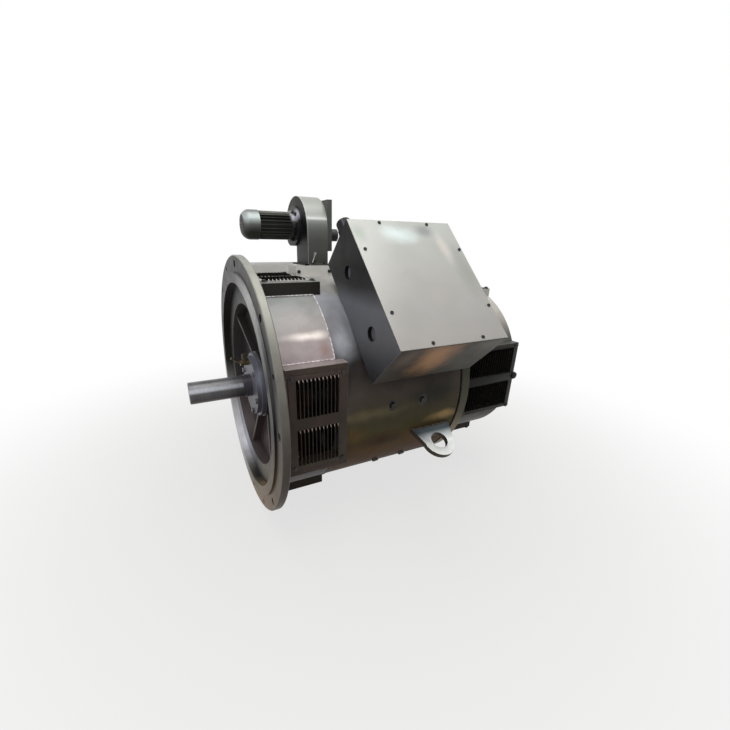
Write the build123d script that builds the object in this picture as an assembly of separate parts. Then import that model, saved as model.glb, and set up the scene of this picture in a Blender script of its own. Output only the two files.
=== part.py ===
from build123d import *
from math import cos, pi, radians, sin, sqrt
import os

# Flange-mounted DC motor with forced ventilation. Millimetres.
# X runs along the shaft from the drive end to the commutator end, Z is up.
# The origin is the centre of the mounting flange's face. An angle about the
# shaft is measured from -Y (the near side) towards +Z (the top).

# Clearances
SEAT_GAP = 0.3            # between curved faces that seat on each other
RUNNING_GAP = 0.05        # radial clearance of the rocker on its boss
SHAFT_GAP = 0.4           # shaft to cap bores
ROLL_GAP = 0.2            # rolling elements to their races
BRUSH_GAP = 0.15          # brush to holder, each side
BRUSH_LIFT_GAP = 0.1      # brush face to commutator at rest

# Mounting flange and spigot
FLANGE_OD = 1000.0
FLANGE_T = 27.0
FLANGE_PCD = 940.0
FLANGE_HOLE_D = 28.0
FLANGE_HOLES = 8
JACK_PCD = 952.0
JACK_HOLE_D = 18.0
JACK_HOLES = 4
JACK_ANGLE = 22.5
SPIGOT_OD = 880.0
SPIGOT_H = 8.0
SPIGOT_WALL = 37.0
EDGE_CHAMFER = 3.0

# Drive-end shield behind the flange
RING_DEPTH = 20.0         # flange face to the machined ring
RING_ID = 650.0
SHIELD_WALL = 16.0
DISH_OUTER_DEPTH = 66.0   # flange face to the dished wall at the ring
DISH_INNER_DEPTH = 92.0   # flange face to the dished wall at the boss
DISH_TAPER = 8.0
REGISTER_L = 9.0          # shield's register inside the housing
RIB_COUNT = 6
RIB_T = 14.0
RIB_ANGLE = 12.0
RIB_INNER_DEPTH = 60.0    # flange face to the rib's edge at the boss
RIB_OUTER_DEPTH = 30.0

# Shaft
SHAFT_D = 85.0
SHAFT_END = 212.0         # flange face to the shaft's end
SHAFT_E = 210.0           # length of the extension
SHAFT_CHAMFER = 2.5
KEY_W = 22.0
KEY_DEPTH = 9.0
KEY_L = 180.0
KEY_END = 12.0
KEY_ANGLE = 240.0
SHAFT_CORE_D = 130.0
SHAFT_COMM_D = 120.0
SHAFT_NECK_D = 104.0

# Drive-end bearing, 90 x 190 x 43
DB_BORE = 90.0
DB_OD = 190.0
DB_W = 43.0
DB_START = 60.0
DB_OUTER_RACE_T = 11.0
DB_INNER_RACE_T = 11.0
DB_ROLLERS = 12
DB_CAGE_MARGIN = 6.0
DB_BOSS_OD = 268.0
DB_BOSS_FRONT = 54.0
DB_BOSS_BACK = 118.0
CAP_OD = 236.0
CAP_STEP_OD = 258.0
CAP_FACE = 22.0
CAP_STEP = 38.0
CAP_BOLT_PCD = 212.0
CAP_BOLTS = 6
CAP_RECESS = 10.0
FITTING_Y = -5.0
FITTING_Z = 98.0
FITTING_D = 21.0
FITTING_START = -12.0
FITTING_HEX = 19.0
FITTING_HEX_X = 5.0
FITTING_HEX_Z = 134.0
NIPPLE_D = 10.0
NIPPLE_L = 44.0
NIPPLE_TILT = -59.0
NIPPLE_X = -27.0
NIPPLE_Z = 110.0
INNER_CAP_T = 12.0
BOLT_M12_D = 12.0
HEX_M12 = 19.0
HEAD_M12 = 8.0

# Commutator-end bearing, 80 x 170 x 39
NB_BORE = 80.0
NB_OD = 170.0
NB_W = 39.0
NB_START = 1085.0
NB_OUTER_RACE_T = 9.0
NB_INNER_RACE_T = 9.0
NB_BALLS = 8
NB_BOSS_OD = 230.0
NB_BOSS_FRONT = 1008.0
NB_BOSS_BACK = 1132.0
NB_CAP_T = 12.0
NB_CAP_BOLT_PCD = 200.0

# Drive-end housing
BODY_OD = 834.0
DH_WALL = 18.0
DH_END = 227.0
DW_PLANE = 418.0          # shaft axis to the flat of the window frame
DW_START = 42.0
DW_END = 254.0
DW_HALF = 188.0
DW_OPEN_START = 71.0
DW_OPEN_END = 222.0
DW_OPEN_HALF = 153.0
DC_START = 49.0
DC_END = 248.0
DC_HALF = 166.0
DC_BOLT_X1 = 62.0
DC_BOLT_X2 = 235.0
DC_BOLT_Z = 158.0
DUCT_PORT_START = 66.0
DUCT_PORT_END = 206.0
DUCT_PORT_HALF = 85.0

# Louvres
COVER_T = 3.0
LOUVRE_PITCH = 13.4
LOUVRE_W = 7.0
LOUVRE_H = 6.0
LOUVRE_LEAN = 8.5
LOUVRE_T = 1.8
LOUVRE_INNER = 20.0       # middle line to the louvres' inner ends
DL_COUNT = 11
DL_START = 74.0
DL_OUTER = 152.0
NL_COUNT = 18
NL_START = 851.0
NL_OUTER = 132.0
COVER_BOLT_D = 8.0
COVER_BOLT_L = 14.0
COVER_HEX = 13.0
COVER_HEAD = 5.5

# Yoke and poles
YOKE_END = 750.0
YOKE_WALL = 32.0
LEAD_START = 650.0
LEAD_END = 710.0
LEAD_HALF = 70.0
MAIN_BOLT_X1 = 439.0
MAIN_BOLT_X2 = 572.0
INTER_BOLT_X1 = 448.0
INTER_BOLT_X2 = 577.0
POLE_BOLT_D = 16.0
POLE_HEX = 24.0
POLE_HEAD = 9.0
SPOT_D = 34.0
SPOT_DEPTH = 3.0
MAIN_POLE_START = 350.0
MAIN_POLE_END = 630.0
MAIN_POLE_W = 130.0
SHOE_ANGLE = 27.0
SHOE_T = 24.0
POLE_AIR_GAP = 4.0
FIELD_COIL_T = 42.0
COIL_GAP = 0.6
COIL_OUTER_R = 378.0
INTER_POLE_START = 370.0
INTER_POLE_END = 610.0
INTER_POLE_W = 36.0
INTER_COIL_T = 20.0

# Armature and commutator
CORE_OD = 464.0
CORE_START = 350.0
CORE_END = 630.0
SLOTS = 28
SLOT_W = 14.0
SLOT_DEPTH = 36.0
VENTS = 8
VENT_D = 28.0
VENT_PCD = 250.0
BAR_GAP = 0.5
OVERHANG = 62.0
OVERHANG_WALL = 30.0
COMM_OD = 300.0
COMM_START = 820.0
COMM_END = 990.0
RISER_OD = 344.0
RISER_L = 20.0
SEGMENTS = 36
MICA_W = 1.6
MICA_DEPTH = 4.0

# Brush gear
ROCKER_START = 1028.0
ROCKER_T = 20.0
ROCKER_RING_T = 22.0
ARM_RADIUS = 180.0
ARM_OFFSET = 40.0
ARM_D = 24.0
ARM_START = 850.0
LOBE_R = 26.0
BRUSH_X = 900.0
BRUSH_AXIAL = 40.0
BRUSH_W = 20.0
BRUSH_L = 50.0
HOLDER_WALL = 6.0
HOLDER_LIFT = 3.0         # commutator to the holder's edge
HOLDER_L = 36.0
ROLL_D = 18.0
ROLL_L = 30.0
CLAMP_W = 34.0
CLAMP_AXIAL = 40.0

# Intermediate ring and commutator-end housing
CR_SHOULDER_OD = 820.0
CR_START = 755.0
CR_END = 798.0
CR_OD = 838.0
CR_REGISTER_L = 15.0
CR_BORE = 660.0
CR_WALL = 17.0
NH_OD = 710.0
NH_WALL = 10.0
NH_END = 1125.0
NH_END_WALL = 15.0
NH_FLANGE_OD = 784.0
NH_FLANGE_T = 12.0
NH_BOLT_PCD = 748.0
NH_BOLTS = 8
NW_PLANE = 357.0
NW_START = 835.0
NW_END = 1120.0
NW_HALF = 150.0
NW_OPEN_START = 848.0
NW_OPEN_END = 1094.0
NW_OPEN_HALF = 134.0
NC_START = 838.0
NC_END = 1116.0
NC_HALF = 147.0
NC_BOLT_X1 = 843.0
NC_BOLT_X2 = 1105.0
NC_BOLT_Z = 141.0
STRAP_START = 842.0
STRAP_END = 1120.0
STRAP_HALF = 17.0
STRAP_T = 4.0
STRAP_EYE_R = 22.0
STRAP_EYE_T = 8.0

# Terminal box at the upper near shoulder
TB_ANGLE = 45.0
TB_START = 314.0
TB_END = 729.0
TB_HALF = 247.0
TB_PLANE = 628.0          # shaft axis to the cover's outer face
TB_WALL = 5.0
TB_COVER_T = 5.0
TB_FLOOR = 419.0
TB_FLOOR_OPEN_START = 400.0
TB_FLOOR_OPEN_END = 715.0
TB_FLOOR_OPEN_HALF = 75.0
SADDLE_START = 380.0
SADDLE_END = 724.0
SADDLE_HALF = 112.0
TB_RIM = 26.0
TB_RIM_T = 4.0
TB_SIDE_SCREW_X1 = 430.0
TB_SIDE_SCREW_X2 = 625.0
TB_SIDE_SCREW_T = 234.0
TB_END_SCREW_X1 = 335.0
TB_END_SCREW_X2 = 716.0
TB_END_SCREW_T = 120.0
TB_SCREW_D = 8.0
TB_SCREW_HEAD_D = 14.0
TB_SCREW_HEAD = 3.5
ENTRY_R = 520.0           # shaft axis to the cable entries
ENTRY_T = 121.0
ENTRY_D = 48.0
PLUG_HEAD_D = 56.0
PLUG_HEAD = 4.0
PLUG_DEPTH = 14.0
PLUG_LIP = 1.6
PLUG_FLOOR = 3.0
PLUG_GAP = 0.3
GLAND_X = 345.0
GLAND_R = 560.0
GLAND_THREAD_D = 40.0
GLAND_HEX = 58.0
GLAND_HEX_T = 14.0
GLAND_D = 52.0
GLAND_TIP = 300.0
GLAND_INNER = 236.0
BOARD_R = 500.0
BOARD_T = 14.0
BOARD_L = 290.0
BOARD_HALF = 95.0
LEDGE_L = 68.0
LEDGE_T = 4.0
STUD_D = 16.0
STUD_L = 42.0
STUD_HEX = 24.0
STUD_NUT = 12.0
STUD_COLUMNS = 3
STUD_PITCH_X = 80.0
STUD_PITCH_T = 90.0

# Lifting lugs
LUG_X = 636.0
LUG_ROOT_ANGLE = -19.4
LUG_TILT = -30.0
LUG_T = 22.0
LUG_ROOT_HALF = 90.0
LUG_END_R = 67.0
LUG_HOLE_D = 68.0
LUG_REACH = 71.0          # root to the hole's centre
LUG_SINK = 90.0           # plate kept inside the root before it is trimmed

# Air duct on the far shoulder
DUCT_TOP = 455.0
DUCT_START = 42.0
DUCT_END = 432.0
DUCT_NEAR_Y = 192.0
DUCT_STEP_X = 262.0
DUCT_STEP_Y = 85.0
DUCT_FAR_Y = 366.0
DUCT_WALL = 4.0
DUCT_BOLT_D = 8.0
DUCT_BOLT_X1 = 273.0
DUCT_BOLT_X2 = 410.0
DUCT_BOLT_Z = 431.0

# Blower volute
BL_Y = 250.0
BL_Z = 610.0
VOLUTE_START = 319.0
VOLUTE_W = 92.0
VOLUTE_SHEET = 3.0
VOLUTE_R = 136.0          # scroll radius over the top
VOLUTE_CY = 237.0
VOLUTE_CZ = 591.0
VOLUTE_TONGUE_R = 62.0
NECK_FAR_Y = 232.0
VOLUTE_INLET_D = 120.0
VOLUTE_SHAFT_HOLE_D = 90.0
BASE_T = 6.0
BASE_LIP = 16.0

# Blower motor
BM_FLANGE_D = 160.0
BM_FLANGE_T = 10.0
BM_BODY_START = 158.0
BM_CORE_D = 94.0
BM_FINS = 24
BM_FIN_T = 3.0
BM_BORE_D = 60.0
BM_BRIDGE_D = 100.0
COWL_D = 116.0
COWL_START = 86.0
COWL_END = 162.0
COWL_SHEET = 1.5
COWL_DOME = 24.0
COWL_FACE_D = 74.0
COWL_SLOTS = 8
COWL_SLOT_W = 5.0
BM_SHAFT_D = 19.0
BM_SHAFT_START = 112.0
BM_ROTOR_D = 58.0
BM_ROTOR_START = 190.0
BM_ROTOR_END = 270.0
BM_FAN_D = 96.0
BM_FAN_X = 120.0
BM_FAN_W = 22.0
BM_FAN_BLADES = 7
IMPELLER_D = 146.0
IMPELLER_W = 62.0
IMPELLER_BLADES = 20
IMPELLER_BLADE_L = 16.0
IMPELLER_BLADE_T = 2.0
IMPELLER_DISC_T = 3.0
IMPELLER_HUB_D = 36.0
IMPELLER_LEAD = 10.0      # volute wall to the impeller's disc

# Inlet box and pressure switch
INLET_T = 20.0
INLET_NEAR_Y = 103.0
INLET_FAR_Y = 376.0
INLET_TOP = 709.0
INLET_BOTTOM = 511.0
INLET_SLOTS = 9
INLET_SLOT_H = 9.0
INLET_MARGIN = 24.0
SWITCH_D = 50.0
SWITCH_L = 38.0
SWITCH_Y = 145.0
SWITCH_Z = 575.0
SWITCH_LIP_D = 60.0
SWITCH_LIP = 6.0

# Derived sizes
BODY_R = BODY_OD / 2
DB_R = DB_OD / 2
NB_R = NB_OD / 2
YOKE_BORE_R = BODY_R - YOKE_WALL
VOLUTE_END = VOLUTE_START + VOLUTE_W
POLE_FACE_R = CORE_OD / 2 + POLE_AIR_GAP
COIL_INNER_R = POLE_FACE_R + SHOE_T + SEAT_GAP
COMM_R = COMM_OD / 2
BM_FIN_R = COWL_D / 2 - COWL_SHEET - SEAT_GAP
SIDES = (0, 90, 180, 270)
SHOULDERS = (45, 135, 225, 315)


def turned(shape, angle):
    """The shape turned about the shaft from the near side by an angle towards the top."""
    return Rot(-angle, 0, 0) * shape


def rod(radius, x0, x1, y=0.0, z=0.0):
    """A cylinder along X between two stations."""
    return Pos((x0 + x1) / 2, y, z) * Rot(0, 90, 0) * Cylinder(radius, x1 - x0)


def tube(outer, inner, x0, x1, y=0.0, z=0.0):
    """A ring along X with an outer and an inner radius."""
    return rod(outer, x0, x1, y, z) - rod(inner, x0 - 1, x1 + 1, y, z)


def block(x0, x1, y0, y1, z0, z1):
    """A box between six planes."""
    return Pos((x0 + x1) / 2, (y0 + y1) / 2, (z0 + z1) / 2) * Box(x1 - x0, y1 - y0, z1 - z0)


def revolved(points):
    """A solid turned about the shaft axis from its (x, radius) corners."""
    return revolve(make_face(Polyline(*points, close=True)), Axis.X, 360)


def radial_rod(radius, inner, outer, x, t=0.0):
    """A cylinder that points out of the near side, between two distances from the shaft."""
    return Pos(x, -(inner + outer) / 2, t) * Rot(90, 0, 0) * Cylinder(radius, outer - inner)


def hex_rod(across, inner, outer, x, t=0.0):
    """A hexagonal prism that points out of the near side."""
    prism = extrude(RegularPolygon(across / 2, 6, major_radius=False), outer - inner)
    return Pos(x, -inner, t) * Rot(90, 0, 0) * prism


def hex_along(across, x0, x1, y=0.0, z=0.0):
    """A hexagonal prism along X."""
    prism = extrude(RegularPolygon(across / 2, 6, major_radius=False), x1 - x0)
    return Pos(x0, y, z) * Rot(0, 90, 0) * prism


def rising_rod(radius, z0, z1, x, y):
    """A cylinder along Z between two levels."""
    return Pos(x, y, (z0 + z1) / 2) * Cylinder(radius, z1 - z0)


def hex_rising(across, z0, z1, x, y):
    """A hexagonal prism along Z."""
    return Pos(x, y, z0) * extrude(RegularPolygon(across / 2, 6, major_radius=False), z1 - z0)


def around(shape, angles):
    """Copies of one shape at several angles about the shaft."""
    return [turned(shape, angle) for angle in angles]


def even(count, first=0.0):
    """Evenly spaced angles."""
    return [first + 360 * k / count for k in range(count)]


def drive_end_shield():
    """Flange, spigot, machined ring, dished wall, ribs and bearing boss in one casting."""
    flange_r = FLANGE_OD / 2
    spigot_r = SPIGOT_OD / 2
    ring_r = RING_ID / 2
    boss_r = DB_BOSS_OD / 2
    register_r = BODY_R - DH_WALL - SEAT_GAP
    body = revolved([
        (-SPIGOT_H, spigot_r),
        (0, spigot_r),
        (0, flange_r - EDGE_CHAMFER),
        (EDGE_CHAMFER, flange_r),
        (FLANGE_T - EDGE_CHAMFER, flange_r),
        (FLANGE_T, flange_r - EDGE_CHAMFER),
        (FLANGE_T, register_r),
        (FLANGE_T + REGISTER_L, register_r),
        (FLANGE_T + REGISTER_L, ring_r + SHIELD_WALL),
        (DISH_OUTER_DEPTH + SHIELD_WALL, ring_r - DISH_TAPER),
        (DISH_INNER_DEPTH + SHIELD_WALL, boss_r + DISH_TAPER),
        (DB_BOSS_BACK, boss_r),
        (DB_BOSS_BACK, DB_R),
        (DB_BOSS_FRONT, DB_R),
        (DB_BOSS_FRONT, boss_r),
        (DISH_INNER_DEPTH, boss_r),
        (DISH_OUTER_DEPTH, ring_r - DISH_TAPER),
        (RING_DEPTH, ring_r),
        (RING_DEPTH, spigot_r - SPIGOT_WALL),
        (-SPIGOT_H, spigot_r - SPIGOT_WALL),
    ])
    rib_face = make_face(Polyline(
        (RIB_INNER_DEPTH, boss_r - 2),
        (RIB_OUTER_DEPTH, ring_r + 1),
        (DISH_OUTER_DEPTH + 2, ring_r - DISH_TAPER + 1),
        (DISH_INNER_DEPTH + 2, boss_r - 2),
        close=True))
    rib = extrude(rib_face, RIB_T / 2, both=True)
    for angle in even(RIB_COUNT, RIB_ANGLE):
        body += turned(Rot(180, 0, 0) * rib, angle)
    hole = rod(FLANGE_HOLE_D / 2, -1, FLANGE_T + 1, -FLANGE_PCD / 2)
    for angle in even(FLANGE_HOLES):
        body -= turned(hole, angle)
    jack = rod(JACK_HOLE_D / 2, -1, FLANGE_T + 1, -JACK_PCD / 2)
    for angle in even(JACK_HOLES, JACK_ANGLE):
        body -= turned(jack, angle)
    tapped = rod(BOLT_M12_D / 2, DB_BOSS_FRONT - 1, DB_BOSS_FRONT + 20, -CAP_BOLT_PCD / 2)
    for angle in even(CAP_BOLTS, RIB_ANGLE + 30):
        body -= turned(tapped, angle)
    return body


def window_frame(plane, x0, x1, half, open0, open1, open_half):
    """A flat raised frame on the near side, from inside the shell out to its plane."""
    depth = plane * 0.25
    frame = block(x0, x1, -plane, depth - plane, -half, half)
    return frame - block(open0, open1, -plane - 1, depth - plane + 1, -open_half, open_half)


def drive_end_housing():
    """Cylinder behind the flange with four flat window frames and the duct's port."""
    inner_r = BODY_R - DH_WALL
    shell = tube(BODY_R, inner_r, FLANGE_T, DH_END)
    frame = window_frame(DW_PLANE, DW_START, DW_END, DW_HALF,
                         DW_OPEN_START, DW_OPEN_END, DW_OPEN_HALF)
    frame -= rod(inner_r, DW_START - 1, DH_END)
    frame -= rod(BODY_R + SEAT_GAP, DH_END, DW_END + 1)
    opening = block(DW_OPEN_START, DW_OPEN_END, -DW_PLANE - 1, -inner_r / 2,
                    -DW_OPEN_HALF, DW_OPEN_HALF)
    hole = radial_rod(COVER_BOLT_D / 2, DW_PLANE - COVER_BOLT_L, DW_PLANE + 1, 0)
    for angle in SIDES:
        shell += turned(frame, angle)
    for angle in SIDES:
        shell -= turned(opening, angle)
        for x in (DC_BOLT_X1, DC_BOLT_X2):
            for z in (-DC_BOLT_Z, DC_BOLT_Z):
                shell -= turned(Pos(x, 0, z) * hole, angle)
    port = block(DUCT_PORT_START, DUCT_PORT_END, -BODY_R - 10, -inner_r + 60,
                 -DUCT_PORT_HALF, DUCT_PORT_HALF)
    return shell - turned(port, SHOULDERS[1])


def cover(plane, x0, x1, half, bolts_x, bolt_z):
    """A flat sheet cover on the near side with four corner holes."""
    sheet = block(x0, x1, -plane - COVER_T, -plane, -half, half)
    hole = radial_rod(COVER_BOLT_D / 2, plane - 1, plane + COVER_T + 1, 0)
    for x in bolts_x:
        for z in (-bolt_z, bolt_z):
            sheet -= Pos(x, 0, z) * hole
    return sheet


def louvred(sheet, plane, start, count, outer):
    """Two rows of pressed louvres, each a slit with a leaning blade over it."""
    face = plane + COVER_T
    length = outer - LOUVRE_INNER
    middle = (outer + LOUVRE_INNER) / 2
    profile = make_face(Polyline(
        (LOUVRE_W, 1 - face),
        (LOUVRE_W + LOUVRE_T, 1 - face),
        (LOUVRE_W + LOUVRE_T - LOUVRE_LEAN, -face - LOUVRE_H),
        (LOUVRE_W - LOUVRE_LEAN, -face - LOUVRE_H),
        close=True))
    blade = extrude(profile, length / 2, both=True)
    slit = block(0, LOUVRE_W, -face - 1, 1 - plane, -length / 2, length / 2)
    for k in range(count):
        x = start + k * LOUVRE_PITCH
        for z in (-middle, middle):
            sheet = sheet - Pos(x, 0, z) * slit + Pos(x, 0, z) * blade
    return sheet


def drive_end_cover():
    """Louvred window cover of the drive end, on the near side."""
    sheet = cover(DW_PLANE, DC_START, DC_END, DC_HALF, (DC_BOLT_X1, DC_BOLT_X2), DC_BOLT_Z)
    return louvred(sheet, DW_PLANE, DL_START, DL_COUNT, DL_OUTER)


def commutator_end_cover(with_louvres):
    """Window cover of the commutator end, on the near side."""
    sheet = cover(NW_PLANE, NC_START, NC_END, NC_HALF, (NC_BOLT_X1, NC_BOLT_X2), NC_BOLT_Z)
    if with_louvres:
        sheet = louvred(sheet, NW_PLANE, NL_START, NL_COUNT, NL_OUTER)
        face = NW_PLANE + COVER_T
        sheet += block(STRAP_START, STRAP_END, -face - STRAP_T, -face, -STRAP_HALF, STRAP_HALF)
        sheet += radial_rod(STRAP_EYE_R, face - COVER_T, face + STRAP_EYE_T, STRAP_END)
    return sheet


def cover_bolts(plane, bolts_x, bolt_z):
    """Corner bolts of four covers."""
    face = plane + COVER_T
    shank_r = COVER_BOLT_D / 2 - SEAT_GAP
    bolt = radial_rod(shank_r, plane + 1 - COVER_BOLT_L, face, 0)
    bolt += hex_rod(COVER_HEX, face, face + COVER_HEAD, 0)
    bolts = []
    for x in bolts_x:
        for z in (-bolt_z, bolt_z):
            bolts += around(Pos(x, 0, z) * bolt, SIDES)
    return bolts


def pole_bolt_stations():
    """Angle and X of each pole bolt."""
    stations = []
    for angle in SIDES:
        stations += [(angle, MAIN_BOLT_X1), (angle, MAIN_BOLT_X2)]
    for angle in SHOULDERS:
        stations += [(angle, INTER_BOLT_X1), (angle, INTER_BOLT_X2)]
    return stations


def yoke():
    """Rolled magnet frame with spot-faced bolt holes and the lead opening."""
    body = tube(BODY_R, YOKE_BORE_R, DH_END, YOKE_END)
    hole = radial_rod(POLE_BOLT_D / 2, YOKE_BORE_R - 5, BODY_R + 1, 0)
    spot = radial_rod(SPOT_D / 2, BODY_R - SPOT_DEPTH, BODY_R + 5, 0)
    for angle, x in pole_bolt_stations():
        body -= turned(Pos(x, 0, 0) * (hole + spot), angle)
    leads = block(LEAD_START, LEAD_END, -BODY_R - 1, 10 - YOKE_BORE_R, -LEAD_HALF, LEAD_HALF)
    body -= turned(leads, TB_ANGLE)
    return body


def pole_bolts():
    """Hexagon bolts that hold the main poles and the interpoles."""
    seat = BODY_R - SPOT_DEPTH
    bolt = radial_rod(POLE_BOLT_D / 2 - SEAT_GAP, YOKE_BORE_R - 18, seat, 0)
    bolt += hex_rod(POLE_HEX, seat, seat + POLE_HEAD, 0)
    return [turned(Pos(x, 0, 0) * bolt, angle) for angle, x in pole_bolt_stations()]


def pole(width, x0, x1, bolts_x):
    """A pole body from the air gap to the yoke, with its tapped holes."""
    back_r = YOKE_BORE_R - SEAT_GAP
    body = block(x0, x1, -back_r - 5, 0, -width / 2, width / 2)
    body &= tube(back_r, POLE_FACE_R, x0 - 1, x1 + 1)
    for x in bolts_x:
        body -= radial_rod(POLE_BOLT_D / 2, back_r - 20, back_r + 5, x)
    return body


def main_poles():
    """Four laminated main poles with curved shoes."""
    reach = POLE_FACE_R + SHOE_T
    span = 2 * reach
    edge = span * sin(radians(SHOE_ANGLE))
    depth = span * cos(radians(SHOE_ANGLE))
    wedge_face = make_face(Polyline((0, 0), (-depth, edge), (-depth, -edge), close=True))
    wedge = extrude(Plane.YZ * wedge_face, MAIN_POLE_END - MAIN_POLE_START)
    shoe = Pos(MAIN_POLE_START, 0, 0) * wedge
    shoe &= tube(reach, POLE_FACE_R, MAIN_POLE_START, MAIN_POLE_END)
    body = pole(MAIN_POLE_W, MAIN_POLE_START, MAIN_POLE_END, (MAIN_BOLT_X1, MAIN_BOLT_X2))
    return around(body + shoe, SIDES)


def interpoles():
    """Four narrow interpoles between the main poles."""
    body = pole(INTER_POLE_W, INTER_POLE_START, INTER_POLE_END, (INTER_BOLT_X1, INTER_BOLT_X2))
    return around(body, SHOULDERS)


def coil(x0, x1, width, thickness):
    """A rounded rectangular coil round a pole body."""
    inner_l = x1 - x0 + 2 * COIL_GAP
    inner_w = width + 2 * COIL_GAP
    outer = RectangleRounded(inner_l + 2 * thickness, inner_w + 2 * thickness, thickness)
    ring = extrude(outer - Rectangle(inner_l, inner_w), COIL_OUTER_R)
    ring = Pos((x0 + x1) / 2, 0, 0) * Rot(90, 0, 0) * ring
    return ring & tube(COIL_OUTER_R, COIL_INNER_R, x0 - 2 * thickness, x1 + 2 * thickness)


def field_coils():
    """Shunt field coils of the main poles."""
    return around(coil(MAIN_POLE_START, MAIN_POLE_END, MAIN_POLE_W, FIELD_COIL_T), SIDES)


def interpole_coils():
    """Coils of the interpoles."""
    return around(coil(INTER_POLE_START, INTER_POLE_END, INTER_POLE_W, INTER_COIL_T), SHOULDERS)


def drive_end_outer_cap():
    """Stepped cap over the drive-end bearing."""
    bore_r = DB_BORE / 2 + SHAFT_GAP
    body = revolved([
        (CAP_FACE, bore_r),
        (CAP_FACE, CAP_OD / 2),
        (CAP_STEP, CAP_OD / 2),
        (CAP_STEP, CAP_STEP_OD / 2),
        (DB_BOSS_FRONT, CAP_STEP_OD / 2),
        (DB_BOSS_FRONT, DB_R - SEAT_GAP),
        (DB_START, DB_R - SEAT_GAP),
        (DB_START, DB_R - DB_OUTER_RACE_T),
        (DB_START - CAP_RECESS, DB_R - DB_OUTER_RACE_T),
        (DB_START - CAP_RECESS, bore_r),
    ])
    hole = rod(BOLT_M12_D / 2, CAP_FACE - 1, DB_BOSS_FRONT + 1, -CAP_BOLT_PCD / 2)
    for angle in even(CAP_BOLTS, RIB_ANGLE + 30):
        body -= turned(hole, angle)
    return body


def drive_end_inner_cap():
    """Grease cap behind the drive-end bearing."""
    bore_r = SHAFT_NECK_D / 2 + SHAFT_GAP
    return revolved([
        (DB_START + DB_W, DB_R - SEAT_GAP),
        (DB_BOSS_BACK, DB_R - SEAT_GAP),
        (DB_BOSS_BACK, DB_BOSS_OD / 2),
        (DB_BOSS_BACK + INNER_CAP_T, DB_BOSS_OD / 2),
        (DB_BOSS_BACK + INNER_CAP_T, bore_r),
        (DB_BOSS_BACK, bore_r),
        (DB_BOSS_BACK, DB_R - DB_OUTER_RACE_T),
        (DB_START + DB_W, DB_R - DB_OUTER_RACE_T),
    ])


def cap_bolt(x_head, x_tip, pcd):
    """A hexagon bolt along X whose head faces the drive end."""
    bolt = rod(BOLT_M12_D / 2 - SEAT_GAP, x_head, x_tip, -pcd / 2)
    return bolt + hex_along(HEX_M12, x_head - HEAD_M12, x_head, -pcd / 2)


def drive_end_cap_bolts():
    """Bolts of the drive-end outer cap."""
    bolt = cap_bolt(CAP_FACE, DB_BOSS_FRONT + 18, CAP_BOLT_PCD)
    return around(bolt, even(CAP_BOLTS, RIB_ANGLE + 30))


def grease_nipple():
    """Grease fitting on the drive-end cap: body, screw plug on top and slanting nipple."""
    body = rod(FITTING_D / 2, FITTING_START, CAP_FACE, FITTING_Y, FITTING_Z)
    body += hex_rising(FITTING_HEX, FITTING_Z, FITTING_HEX_Z, FITTING_HEX_X, FITTING_Y)
    nipple = Cylinder(NIPPLE_D / 2, NIPPLE_L)
    return body + Pos(NIPPLE_X, FITTING_Y, NIPPLE_Z) * Rot(0, NIPPLE_TILT, 0) * nipple


def drive_end_outer_race():
    """Outer race of the drive-end roller bearing."""
    return tube(DB_R, DB_R - DB_OUTER_RACE_T, DB_START, DB_START + DB_W)


def drive_end_inner_race():
    """Inner race and rollers of the drive-end bearing."""
    inner_r = DB_BORE / 2 + DB_INNER_RACE_T
    outer_r = DB_R - DB_OUTER_RACE_T
    roller_r = (outer_r - inner_r) / 2 - ROLL_GAP
    x0 = DB_START + DB_CAGE_MARGIN
    x1 = DB_START + DB_W - DB_CAGE_MARGIN
    roller = rod(roller_r, x0, x1, -(inner_r + outer_r) / 2)
    race = tube(inner_r, DB_BORE / 2, DB_START, DB_START + DB_W)
    return [race] + around(roller, even(DB_ROLLERS))


def commutator_end_outer_race():
    """Outer race of the commutator-end ball bearing."""
    return tube(NB_R, NB_R - NB_OUTER_RACE_T, NB_START, NB_START + NB_W)


def commutator_end_inner_race():
    """Inner race and balls of the commutator-end bearing."""
    inner_r = NB_BORE / 2 + NB_INNER_RACE_T
    outer_r = NB_R - NB_OUTER_RACE_T
    ball_r = (outer_r - inner_r) / 2 - ROLL_GAP
    ball = Pos(NB_START + NB_W / 2, -(inner_r + outer_r) / 2, 0) * Sphere(ball_r)
    race = tube(inner_r, NB_BORE / 2, NB_START, NB_START + NB_W)
    return [race] + around(ball, even(NB_BALLS))


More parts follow.
